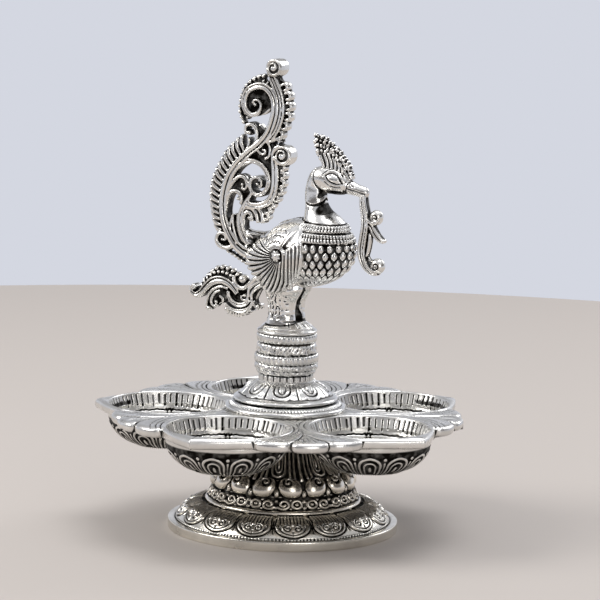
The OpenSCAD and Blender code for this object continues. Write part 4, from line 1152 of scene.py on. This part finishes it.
def make_comb():
    """Leaf-shaped comb: short curved strands that run up into a thick mass of overlapping leaf tips."""
    outline = [(12.4, 127.6), (11.6, 129.6), (10.4, 133), (9.7, 136.2), (9.8, 138.2), (11.9, 137.4),
               (14, 136.4), (15.8, 135.4), (18.4, 132.8), (20.7, 130.6), (22.6, 127.9), (24, 125),
               (22.4, 123.6), (18, 122.4), (14, 123)]
    strands = [[(13.3, 126.4, 1.1), (12.6, 129, 1.2), (11.5, 131.4, 1.2)],
               [(14.7, 126.6, 1.1), (14.2, 129.4, 1.2), (13, 132.2, 1.2)],
               [(16.1, 126.6, 1.1), (15.8, 129.2, 1.2), (14.8, 131.6, 1.2)],
               [(17.5, 126.4, 1.1), (17.4, 128.8, 1.2), (16.6, 130.8, 1.2)],
               [(18.9, 125.8, 1.1), (19, 127.8, 1.2), (18.4, 129.6, 1.2)],
               [(20.1, 125, 1.1), (20.4, 126.6, 1.2), (20, 128.2, 1.2)]]
    shells = [slab(outline, 1.5)] + [swept(path, 2.7, (), 0.5) for path in strands]
    edge = [(9.6, 138.2), (11.8, 137.5), (13.9, 136.6), (15.8, 135.4), (17.2, 134.1), (18.6, 132.9),
            (19.9, 131.6), (21.1, 130.3), (22.2, 128.7), (23.1, 127), (23.9, 125.2)]
    second = [(10.2, 136.6), (12.4, 136), (14.6, 134.8), (16.5, 133.3), (18.4, 131.6), (20.1, 129.8),
              (21.6, 127.7), (22.6, 125.6)]
    third = [(10.3, 134.8), (12.3, 134.5), (14.2, 133.6), (15.9, 132.3), (17.5, 131), (18.9, 129.6)]
    fourth = [(10.6, 132.9), (12, 132.9), (13.5, 132.6), (15, 131.6)]
    back = [(11.3, 130.2), (10.6, 132.2), (10, 134.2), (9.6, 136.2)]
    rows = (edge, 15, 0.9), (second, 12, 0.95), (third, 8, 0.95), (fourth, 4, 0.9), (back, 5, 0.8)
    for j, (line, count, size) in enumerate(rows):
        p = evenly(smooth_line(line, 8), 0.1)
        for k in range(count):
            x, z = (p[int(k / (count - 1) * (len(p) - 1))]
                    + 0.5 * np.array([scatter(k, j) - 0.5, scatter(j + 4, k) - 0.5]))
            r = size * (0.75 + 0.5 * scatter(k + 9, j))
            shells.append(ball(x, 0, z, r * 0.9, 1.25 + 0.45 * scatter(k, j + 6), r * 1.1, 14))
    shells.append(swept([(18.6, 130.4, 1.6), (20, 129.2, 2.5), (21.5, 127.4, 2.9), (22.7, 125.6, 2.6),
                         (23.6, 123.8, 1.6)], 3.1, (-0.1,), 0.7))
    points, quads, tris = fuse(shells, 0.15, 2)
    out = facing(points, quads, tris)
    x, z = points[:, 0], points[:, 2]
    points = points + out * stipple(x, z, 1.5, 0.5)[:, None] * ramp(z + 0.9 * x, 145.5, 147)[:, None]
    oxide_and_shade = 0.14 * ramp(1.45 - np.abs(points[:, 1]), 0.2, 0.6)
    add_bird_piece("comb_casting", points, quads, tris, BIRD_SILVER, "head_crest", oxide_and_shade)


# scrolled tail and sprig

def leaf_row(line, edge, count, depth):
    """Drop-shaped leaves with a side lobe each, set side by side from a strand out to an edge line."""
    base, tips = evenly(smooth_line(line, 8), 0.2), evenly(smooth_line(edge, 8), 0.2)
    shells = []
    for k in range(count):
        f = (k + 0.5) / count
        b, t = base[int(f * (len(base) - 1))], tips[int(f * (len(tips) - 1))]
        out = t - b
        up = np.array([out[1], -out[0]]) / np.linalg.norm(out)
        mid, tip = b + out * 0.6 - up * 0.35, t + up * 0.5
        shells.append(swept([[*(b - out * 0.2), 1.1], [*(b + out * 0.25 - up * 0.25), 1.35], [*mid, 1.5],
                             [*tip, 1.3]], depth, (), 0.6))
        shells.append(ball(tip[0], 0, tip[1], 1.05, depth / 2 - 0.1, 1.05, 14))
        low = b + out * 0.72 - up * 0.85
        shells.append(ball(low[0], 0, low[1], 0.62, depth / 2 - 0.3, 0.62, 12))
    return shells


def bead_row(line, count, r, depth):
    p = evenly(smooth_line(line, 8), 0.1)
    places = [p[int(k / (count - 1) * (len(p) - 1))] for k in range(count)]
    return [ball(x, 0, z, r, depth / 2, r, 14) for x, z in places]


def scroll_ends(points, scrolls, size=0.78):
    """Depth of the spiral line on the two ends of each rolled scroll."""
    x, side, z = points[:, 0], np.abs(points[:, 1]), points[:, 2]
    h = np.zeros(len(points))
    for cx, cz, r, depth, start, way in scrolls:
        near = np.where(side > depth / 2 - 1.2)[0]
        near = near[np.hypot(x[near] - cx, z[near] - cz) < r * 1.02]
        line = curl(cx, cz, r * size, r * 0.38 * size, start, 1.3 * way, 44)
        h[near] += cut(off_line(x[near], z[near], line), 0.28 * r * size, 0.9)
    return h


def dark_floor(points, t, rounds):
    """More oxide on what lies deep between the strands, and none on the rolled ends."""
    oxide_and_shade = 0.16 * ramp(t / 2 - np.abs(points[:, 1]), 0.5, 1.5)
    for x, z, r in rounds:
        oxide_and_shade *= 0.2 + 0.8 * ramp(np.hypot(points[:, 0] - x, points[:, 2] - z), r, r + 0.4)
    return oxide_and_shade


def strand_shells(strands, groove_depth):
    """Grooved strands, each given as its path, depth, grooves and the ball at its end."""
    shells = []
    for path, depth, grooves, end in strands:
        shells.append(swept(path, depth, grooves, groove_depth))
        if end:
            shells.append(ball(end[0], 0, end[1], end[2], depth / 2 + 0.1, end[2]))
    return shells


def make_upper_plume():
    t = 6.0
    stem = [(-9, 94.5, 4.4), (-15, 95.2, 4.2), (-19.4, 97.6, 3.8), (-22.6, 101.6, 3.4), (-24.6, 106, 3.1),
            (-25.3, 110.5, 3), (-25.1, 115, 3), (-24, 119.6, 3), (-21.9, 123.8, 3), (-19, 127.3, 3),
            (-15.4, 130.6, 3.1), (-11.6, 133.6, 3.2), (-8.6, 137, 3), (-6.9, 141, 2.9), (-5.9, 145.2, 2.9),
            (-6.2, 149, 2.8), (-7.9, 152, 2.8), (-10.5, 153.5, 2.8), (-13.5, 153.3, 2.7), (-16.3, 151.6, 2.5),
            (-17.6, 148.8, 2.4), (-17.3, 145.8, 2.2), (-15.4, 143.8, 1.9), (-13, 143.9, 1.5),
            (-11.4, 145.6, 1.1), (-11.1, 147.4, 0.9), (-12.2, 148.7, 0.8), (-13.7, 148.6, 0.8),
            (-14.4, 147.5, 0.7)]
    shells = [swept(stem, t, (-0.4,), 1.1), ball(-13.5, 0, 147.1, 1, t / 2 - 0.2, 1)]
    strands = [([(-8.6, 134.2, 2.6), (-5.4, 138.6, 3), (-3.8, 143, 3.2), (-3.5, 147, 3.3), (-4.2, 151, 3.3),
                 (-5.9, 154.6, 3.2), (-7.4, 157.6, 2.6), (-8.6, 160.2, 2)], t - 0.4, (-0.35, 0.3), None),
               ([(-15.4, 130.6, 1.6), (-13.4, 133.2, 1.6), (-12.6, 136.4, 1.6), (-13.2, 139, 1.6),
                 (-15, 140.2, 1.6), (-16.8, 139.6, 1.4), (-17.2, 137.9, 1.2), (-16.6, 136.8, 1)], t - 0.6, (),
                (-15.7, 137.3, 1.1)),
               ([(-16.8, 131, 1.2), (-15.8, 133.4, 1.4), (-15.9, 135.6, 0.8)], t - 1.4, (), None),
               ([(-15.8, 112.6, 2), (-12.4, 112.2, 2.4), (-9.4, 112.8, 2.6), (-7, 114.4, 2.7), (-5.6, 117, 2.8),
                 (-5, 120.4, 2.8), (-5.1, 125, 2.8), (-5.5, 129, 2.6), (-5.2, 132, 2.2), (-3.4, 133.4, 1.8)],
                t - 0.1, (-0.62, -0.2), None),
               ([(-11, 97.5, 3), (-14.4, 98.6, 2.8), (-17, 102, 2.5), (-18.3, 106, 2.3), (-17.9, 109.6, 2.1),
                 (-16.2, 112.8, 1.8), (-14.4, 115.6, 1.2), (-13.8, 117, 0.9)], t - 0.2, (-0.2,), None),
               ([(-17.4, 105, 1.4), (-17.1, 107.8, 1.6), (-15.8, 109.6, 1.7), (-14.3, 109.2, 1.6),
                 (-13.7, 107.6, 1.3), (-14.4, 106.8, 1)], t - 0.6, (), (-15, 107.7, 0.8)),
               ([(-16.6, 110.8, 1.3), (-14, 111, 1.6), (-12.3, 109.6, 1.7), (-11.6, 107.6, 1.6),
                 (-11.5, 106.2, 1.3)], t - 0.7, (), None),
               ([(-14.6, 112.2, 1.3), (-11.8, 111.6, 1.7), (-10.1, 109.8, 1.8), (-9.6, 107.8, 1.7),
                 (-9.8, 106.2, 1.4)], t - 0.8, (), None),
               ([(-23.2, 117.6, 1.2), (-21.4, 122.6, 1.6), (-18.4, 126, 1.8), (-14.6, 127.6, 1.9),
                 (-10.9, 126.6, 1.9), (-8.5, 124.2, 1.9), (-7.5, 121.4, 1.9), (-7.9, 118.8, 1.8),
                 (-9.5, 116.8, 1.7), (-11.8, 115.9, 1.6), (-14, 117.1, 1.5), (-14.7, 119.5, 1.4),
                 (-13.7, 121.5, 1.3), (-11.8, 122, 1.1), (-10.4, 120.9, 1), (-10.3, 119.2, 0.9),
                 (-11.3, 118.4, 0.8)], t - 0.4, (0.1,), (-11.9, 119.7, 1)),
               ([(-23.9, 112.6, 1.2), (-23.2, 116.4, 1.5), (-21.4, 119.8, 1.6), (-18.9, 121.9, 1.6),
                 (-16.7, 121.2, 1.5), (-15.9, 119, 1.3), (-16.9, 117.4, 1.1), (-18, 118, 0.9)], t - 0.6, (),
                (-17.8, 119.1, 0.95)),
               ([(-24.2, 108.5, 1.2), (-23.7, 113, 1.5), (-22.4, 115.9, 1.7), (-20.4, 116.6, 1.8),
                 (-18.5, 115.5, 1.7), (-18, 113.4, 1.4), (-18.6, 112.2, 1)], t - 0.7, (), (-19.5, 114, 0.8)),
               ([(-14, 93.6, 1.6), (-17.5, 96.6, 2), (-20.2, 100.4, 2.2), (-21.5, 104.4, 2.2),
                 (-21.4, 107.6, 1.2), (-20.9, 108.6, 0.5)], t - 0.9, (0,), None),
               ([(-13, 95.6, 1.4), (-16.4, 98.6, 1.7), (-18.5, 102.2, 1.7), (-19.4, 106, 1.3),
                 (-19.4, 109, 0.6)], t - 1.1, (), None),
               ([(-19.4, 98.6, 2), (-22, 97, 1.8), (-24.4, 96.6, 1.8), (-26.6, 97.4, 1.8), (-27.6, 99.4, 1.7),
                 (-26.6, 101.3, 1.6), (-24.7, 101.4, 1.4), (-23.7, 100, 1.2), (-24.4, 98.9, 1)], t - 0.4, (),
                (-25.2, 99.4, 0.9)),
               ([(-12.6, 131.8, 1.2), (-10.6, 130.2, 1.3), (-9.2, 130.6, 1.1), (-9.2, 132, 0.9)], t - 1, (),
                (-10.1, 131.7, 0.8)),
               ([(-9.4, 128.4, 1.2), (-7.6, 129.8, 1.3), (-7.4, 132.6, 1.2), (-8.2, 134, 0.9)], t - 1.1, (),
                None),
               ([(-6.6, 134.8, 1.3), (-4.6, 135.8, 1.4), (-3.6, 134.6, 1.1)], t - 1, (), None)]
    shells += strand_shells(strands, 0.95)
    floors = [
        oval(-12.2, 148.6, 5.2, 5.2).tolist()[:-1],
        [(-24, 112), (-23.4, 117), (-21.4, 120.4), (-18.6, 121.8), (-16.2, 120.6), (-15.2, 117.6),
         (-14.2, 115.6), (-16.4, 112.6), (-18.3, 113.2), (-19, 116), (-21, 116.8), (-23.2, 115)],
        [(-23, 119), (-21, 123.8), (-18, 127), (-14, 128.4), (-10, 127.4), (-7.8, 124.6), (-6.8, 121),
         (-5.4, 121), (-5.4, 133), (-6.6, 136), (-9.6, 134.8), (-13, 131.6), (-17, 128.8), (-21.6, 124.6)],
        [(-17, 106.6), (-16, 111), (-13, 112.5), (-9.8, 111), (-9.6, 106.8), (-13.4, 106.6), (-15, 108.5)],
        [(-23, 101.4), (-23.6, 106.6), (-21, 108.4), (-19, 108), (-18, 103), (-15, 98.6), (-17, 96)],
        [(-5.4, 138), (-3, 138), (-1.9, 143), (-1.7, 150), (-3.2, 155), (-6, 158), (-6, 152), (-4.8, 146)],
        [(-15.4, 131), (-13.4, 134), (-12.8, 137.4), (-13.6, 139.6), (-11.4, 140.6), (-9.8, 138.4),
         (-10.6, 135), (-13.4, 132.2)],
        oval(-25.3, 99, 2.4, 2.4).tolist()[:-1]]
    shells += [slab(p, 2.2) for p in floors]
    outer = [(-28.3, 102.6), (-29.4, 106), (-30.3, 110), (-30.8, 114), (-30.5, 118), (-29.6, 121.2),
             (-28.3, 124.2), (-26.8, 127), (-25.2, 129.6), (-23.2, 132), (-20.8, 134.2), (-18.2, 136)]
    inner = [(-24.6, 101.8), (-26, 106), (-26.6, 110.5), (-26.4, 115), (-25.3, 119.9), (-23.2, 124.4),
             (-20.2, 128.2), (-16.8, 131.6)]
    shells += leaf_row(inner, outer, 17, t - 1.6)
    shells.append(slab(inner + [(-18.6, 134), (-21, 132.6), (-23.4, 130.2), (-25.2, 127.4), (-27, 124),
                                (-28.4, 120.6), (-29, 117), (-29.2, 113.6), (-28.8, 109.6), (-27.8, 105.8),
                                (-26.8, 102.6)], 1.4))
    shells += bead_row([(-18.4, 140.8), (-19.8, 144), (-19.8, 147), (-19.3, 149.6), (-18.4, 152), (-17, 154),
                        (-15, 155.6), (-13, 156.6), (-11, 157)], 12, 0.95, t - 1.8)
    shells += bead_row([(-16.8, 142.4), (-18.3, 145), (-18.4, 148.6), (-17.2, 152), (-14.4, 154.8),
                        (-11.4, 155.4), (-9.2, 154.8)], 13, 0.8, t - 2.2)
    shells += bead_row([(-23.4, 95.2), (-20.4, 93.8), (-17, 92), (-13.4, 90.6), (-10, 90)], 10, 0.8, t - 2.4)
    knobs = [(x + 0.8, z, 1.9) for x, z in (
        (-3.4, 153.7), (-2.2, 150.7), (-1.7, 147.2), (-2, 143.7), (-3.2, 140.5), (-4.8, 137.4))]
    knobs += [(x + 0.5, z, 1.65) for x, z in (
        (-3.4, 126), (-3.2, 123.3), (-3.4, 120.6), (-4, 117.9), (-5.4, 115.3), (-7.2, 113), (-8.7, 110.9),
        (-9.2, 108.7))]
    shells += [knob(x, z, r, t - 1.7) for x, z, r in knobs]
    scrolls = [(-6.2, 160.2, 3.15, t + 1.8, 180, -1), (-2.4, 130.2, 3.6, t + 1, 180, -1)]
    shells += [roller(x, z, r, depth) for x, z, r, depth, _, _ in scrolls]
    points, quads, tris = fuse(shells, 0.25, 2)
    points = points + facing(points, quads, tris) * scroll_ends(points, scrolls)[:, None]
    oxide_and_shade = dark_floor(points, t, knobs + [(x, z, r) for x, z, r, _, _, _ in scrolls])
    add_bird_piece("upper_plume_casting", points, quads, tris, PLUME_SILVER, "tail_plume_upper", oxide_and_shade)


def make_lower_plume():
    t = 5.4
    strands = [([(-36.2, 82.4, 1.4), (-37.2, 81.2, 1.6), (-37, 79.7, 1.9), (-35.2, 78.9, 2.2), (-33.2, 80, 2.6),
                 (-31.2, 82.2, 2.9), (-28.8, 84.2, 3.2), (-26, 85, 3.2), (-23, 84.4, 2.9), (-20.6, 82.8, 2.6),
                 (-18.8, 80.8, 2.2)], t, (0.45,), (-36.1, 81.4, 1.1)),
               ([(-22.6, 82.2, 1.2), (-25.6, 82.7, 1.3), (-28.2, 81.6, 1.4), (-30, 79.8, 1.4),
                 (-30.9, 77.4, 1.4), (-31.1, 75, 1.3), (-30.2, 74.2, 1.2)], t - 0.4, (), (-30, 74.8, 1)),
               ([(-25.6, 81.4, 1), (-27.9, 80.2, 1.3), (-29.1, 78.2, 1.4), (-29, 76.4, 1.3), (-27.8, 75.6, 1.1),
                 (-26.9, 76.4, 0.9)], t - 0.6, (), (-27.4, 77.2, 0.95)),
               ([(-20.4, 87.2, 1.3), (-20.2, 85, 1.6), (-18.8, 83.2, 1.8), (-16.6, 82.9, 1.8),
                 (-14.4, 84.4, 1.9), (-11.6, 86.8, 2.2), (-6, 89.6, 2.6)], t - 0.2, (), None),
               ([(-6, 88, 2), (-12, 85, 1.8), (-14.2, 82.8, 1.6), (-14.5, 80.4, 1.4), (-15.4, 78.9, 1.2),
                 (-17, 79.1, 1), (-17.3, 80.4, 0.8)], t - 0.4, (), (-16, 80.4, 1)),
               ([(-6.5, 86.4, 1.8), (-11.6, 83.4, 1.6), (-13.2, 81.2, 1.5), (-13.1, 78.8, 1.4),
                 (-11.8, 77, 1.3), (-10.2, 76.2, 1.2)], t - 0.7, (), (-10.6, 77.3, 0.9)),
               ([(-22.4, 81.4, 1.2), (-22, 79.4, 1.6), (-20.4, 77.6, 1.9), (-18, 76.9, 2), (-15.6, 77.5, 1.8),
                 (-14, 79, 1.4)], t - 0.3, (0,), None),
               ([(-23.6, 77, 1.2), (-21.6, 75.4, 1.5), (-18.6, 74.7, 1.7), (-15.8, 75.2, 1.6),
                 (-13.8, 76.6, 1.3), (-12.4, 79, 1)], t - 0.5, (0.1,), (-23.2, 75, 1.1)),
               ([(-26, 79.4, 1.2), (-24.6, 78.4, 1.3), (-24.8, 77, 1)], t - 1, (), None)]
    shells = strand_shells(strands, 0.9)
    shells.append(ball(-17.4, 0, 85.8, 2, t / 2 - 0.4, 1.8))
    for k in range(9):
        f = k / 8
        x, z = -22.4 + 8.6 * f, 74.2 - 1.4 * math.sin(math.pi * f) + 1.4 * f
        shells.append(swept([(x + 0.5 * (0.5 - f), z + 1.4, 0.7), (x, z, 0.75),
                             (x - 0.4 * (0.5 - f), z - 0.9, 0.8)], t - 1, (), 0.4))
    floors = [[(-30.8, 75.4), (-29.6, 80), (-26, 82.4), (-22.8, 82.4), (-23.6, 78.6), (-25.6, 77),
               (-28.4, 74.8), (-30, 74.2)],
              [(-22.4, 82), (-21.6, 78), (-18, 76), (-14, 76.6), (-12, 79), (-9, 85), (-14, 84), (-17, 82.6),
               (-20, 83.6)],
              [(-35, 80.6), (-32.6, 84.2), (-29.4, 87), (-26, 88.2), (-22, 87.4), (-19.8, 85.4), (-20.4, 82.4),
               (-26, 84), (-31, 81.4)]]
    shells += [slab(p, 2.2) for p in floors]
    shells += bead_row([(-33.4, 82.6), (-31.6, 84.6), (-29.6, 86.6), (-27.2, 87.6), (-24.6, 87.7), (-22, 86.9),
                        (-20.4, 86)], 10, 0.95, t - 1.2)
    shells += bead_row([(-32.6, 84.4), (-30.4, 86.8), (-27.6, 88.9), (-24.6, 89.3), (-21.6, 88.5),
                        (-19.4, 87.4)], 8, 1.0, t - 1.8)
    points, quads, tris = fuse(shells, 0.2, 2)
    oxide_and_shade = dark_floor(points, t, [])
    add_bird_piece("lower_plume_casting", points, quads, tris, PLUME_SILVER, "tail_plume_lower", oxide_and_shade)


def make_sprig():
    t = 4.2
    shells = [swept([(28.2, 119, 2.2), (28.5, 115.6, 2.5), (29.2, 112.2, 2.8), (29.5, 108.4, 2.9),
                     (28.9, 104, 3.0), (28.4, 100, 3.0), (28.9, 97, 2.8), (30.4, 94.4, 2.4), (32.6, 92.8, 2.0),
                     (34.6, 92.6, 1.6)], t, (-0.1, 0.45), 0.9),
              swept([(28.7, 115.4, 1.3), (29.7, 111.6, 1.5), (31.4, 109.9, 1.6), (33.4, 109.7, 1.5),
                     (34.8, 110.8, 1.2)], t - 0.4, (), 0.7),
              swept([(30.4, 110.6, 1.6), (31.8, 108.6, 1.9), (33.2, 106.2, 2.2), (34.8, 104.4, 2),
                     (36.6, 103.4, 1.2)], t - 0.8, (0,), 0.8),
              swept([(29.6, 108.4, 1.4), (31.2, 105.4, 1.5), (30.9, 101, 1.3), (30.2, 98, 0.9)],
                    t - 1.6, (), 0.6),
              slab([(28.8, 112), (31.2, 110), (33, 107), (31.2, 104), (30, 99), (32.4, 96.4), (29, 96.4),
                    (28.6, 104)], 1.6)]
    scrolls = [(33.3, 111.8, 2.4, t + 0.4, 200, 1), (34.2, 95, 2.7, t + 0.6, 200, 1)]
    shells += [ball(x, 0, z, r, depth / 2, r, 26) for x, z, r, depth, _, _ in scrolls]
    shells += [roller(x, z, r * 0.9, depth - 1.2) for x, z, r, depth, _, _ in scrolls]
    points, quads, tris = fuse(shells, 0.18, 2)
    points = points + facing(points, quads, tris) * scroll_ends(points, scrolls, 0.5)[:, None] * 0.8
    oxide_and_shade = dark_floor(points, t, [(x, z, r) for x, z, r, _, _, _ in scrolls])
    add_bird_piece("sprig_casting", points, quads, tris, PLUME_SILVER, "beak_sprig", oxide_and_shade)


make_foot()
make_bell()
make_tray()
make_cups()
make_collar_disc()
make_lotus_collar()
make_stem()
make_stud()
make_nut()
make_washers()
make_plinth()
make_leg(1)
make_leg(-1)
make_body()
make_wing(1)
make_wing(-1)
make_comb()
make_upper_plume()
make_lower_plume()
make_sprig()


# table, light and camera

def make_table():
    sides, reach = 160, 0.56
    turns = round_turn(sides)
    mesh = bpy.data.meshes.new("table_top")
    mesh.from_pydata([(reach * math.cos(a), reach * math.sin(a), 0) for a in turns], [], [list(range(sides))])
    top = bpy.data.objects.new("table_top", mesh)
    bpy.context.scene.collection.objects.link(top)
    m, _, paint = new_finish("table_paint")
    paint.inputs["Base Color"].default_value = (0.5, 0.455, 0.42, 1)
    paint.inputs["Roughness"].default_value = 0.7
    mesh.materials.append(m)


def make_room():
    """A soft room: pale wall round the table, higher behind it as a screen, shaded above that, with a bright
    ceiling. What lights the table is plainer than what is seen or mirrored."""
    world = bpy.data.worlds.new("studio")
    bpy.context.scene.world = world
    world.use_nodes = True
    t = world.node_tree
    t.nodes.clear()
    place, split = new_node(t, "ShaderNodeTexCoord"), new_node(t, "ShaderNodeSeparateXYZ")
    half = new_math(t, "MULTIPLY_ADD", {1: 0.5, 2: 0.5})
    link_all(t, ((place, "Generated", split, "Vector"), (split, "Z", half, 0)))
    wall, over, ceiling = (0.658, 0.68, 0.753), (0.55, 0.56, 0.59), (0.8, 0.81, 0.85)
    lit = ((0.0, (0.2, 0.17, 0.15)), (0.49, (0.16, 0.14, 0.125)), (0.56, (0.4, 0.4, 0.42)),
           (0.75, (0.62, 0.63, 0.66)), (1.0, (0.85, 0.86, 0.9)))
    near = ((0.0, wall), (0.5, wall), (0.535, (0.1, 0.09, 0.085)), (0.66, (0.16, 0.15, 0.15)), (0.8, over),
            (1.0, ceiling))
    behind = ((0.0, wall), (0.63, wall), (0.7, (0.25, 0.25, 0.26)), (0.8, over), (1.0, ceiling))
    rooms = []
    for stops, strength in ((lit, 0.75), (near, 1.0), (behind, 1.0)):
        sky = new_node(t, "ShaderNodeValToRGB")
        for at, c in stops[1:-1]:
            sky.color_ramp.elements.new(at).color = (*c, 1)
        sky.color_ramp.elements[0].color = (*stops[0][1], 1)
        sky.color_ramp.elements[len(stops) - 1].color = (*stops[-1][1], 1)
        soft = new_node(t, "ShaderNodeBackground", {"Strength": strength})
        link_all(t, ((half, "Value", sky, "Fac"), (sky, "Color", soft, "Color")))
        rooms.append(soft)
    path = new_node(t, "ShaderNodeLightPath")
    mirrored, seen = new_math(t, "MAXIMUM"), new_math(t, "MAXIMUM")
    toward = new_node(t, "ShaderNodeVectorMath", {1: (-0.466, 0.885, 0)})
    toward.operation = "DOT_PRODUCT"
    screen = new_node(t, "ShaderNodeMapRange", {"From Max": 0.4})
    around, pick = new_node(t, "ShaderNodeMixShader"), new_node(t, "ShaderNodeMixShader")
    out = new_node(t, "ShaderNodeOutputWorld")
    link_all(t, (
        (path, "Is Glossy Ray", mirrored, 0), (path, "Is Transmission Ray", mirrored, 1),
        (path, "Is Camera Ray", seen, 0), (mirrored, "Value", seen, 1),
        (place, "Generated", toward, 0), (toward, "Value", screen, "Value"), (screen, "Result", around, "Fac"),
        (rooms[1], 0, around, 1), (rooms[2], 0, around, 2), (seen, "Value", pick, "Fac"),
        (rooms[0], 0, pick, 1), (around, 0, pick, 2), (pick, 0, out, "Surface")))


def make_lamps():
    aim = Vector((0, 0, 0.08))
    for name, place, size, power, tint in (("window_light", (-0.75, -0.55, 0.75), 0.6, 8.2, (1, 0.99, 0.97)),
                                           ("fill_light", (0.85, -0.75, 0.35), 0.5, 2.2, (1, 0.98, 0.95)),
                                           ("top_light", (0.1, 0.15, 1.0), 0.5, 3.8, (0.97, 0.98, 1)),
                                           ("back_light", (0.3, 0.9, 0.6), 0.4, 2.2, (0.97, 0.98, 1))):
        lamp = bpy.data.lights.new(name, "AREA")
        lamp.shape = "SQUARE"
        lamp.size = size
        lamp.energy = power
        lamp.color = tint
        o = bpy.data.objects.new(name, lamp)
        o.location = place
        o.rotation_mode = "QUATERNION"
        o.rotation_quaternion = (aim - Vector(place)).to_track_quat("-Z", "Y")
        bpy.context.scene.collection.objects.link(o)


def make_camera():
    turn, rise, away, lean = math.radians(27.75), math.radians(8.71), 1.2, math.radians(1.42)
    aim = Vector((0, 0, 0.082))
    back = Vector((math.sin(turn) * math.cos(rise), -math.cos(turn) * math.cos(rise), math.sin(rise)))
    data = bpy.data.cameras.new("camera")
    data.lens = 208.5
    data.sensor_width = 36
    data.shift_x, data.shift_y = 0.02, -0.0095
    data.clip_start, data.clip_end = 0.05, 20
    cam = bpy.data.objects.new("camera", data)
    cam.location = aim + back * away
    cam.rotation_mode = "QUATERNION"
    cam.rotation_quaternion = (-back).to_track_quat("-Z", "Y") @ Quaternion((0, 0, 1), lean)
    bpy.context.scene.collection.objects.link(cam)
    bpy.context.scene.camera = cam


make_table()
make_room()
make_lamps()
make_camera()
bpy.context.scene.view_settings.view_transform = "Standard"
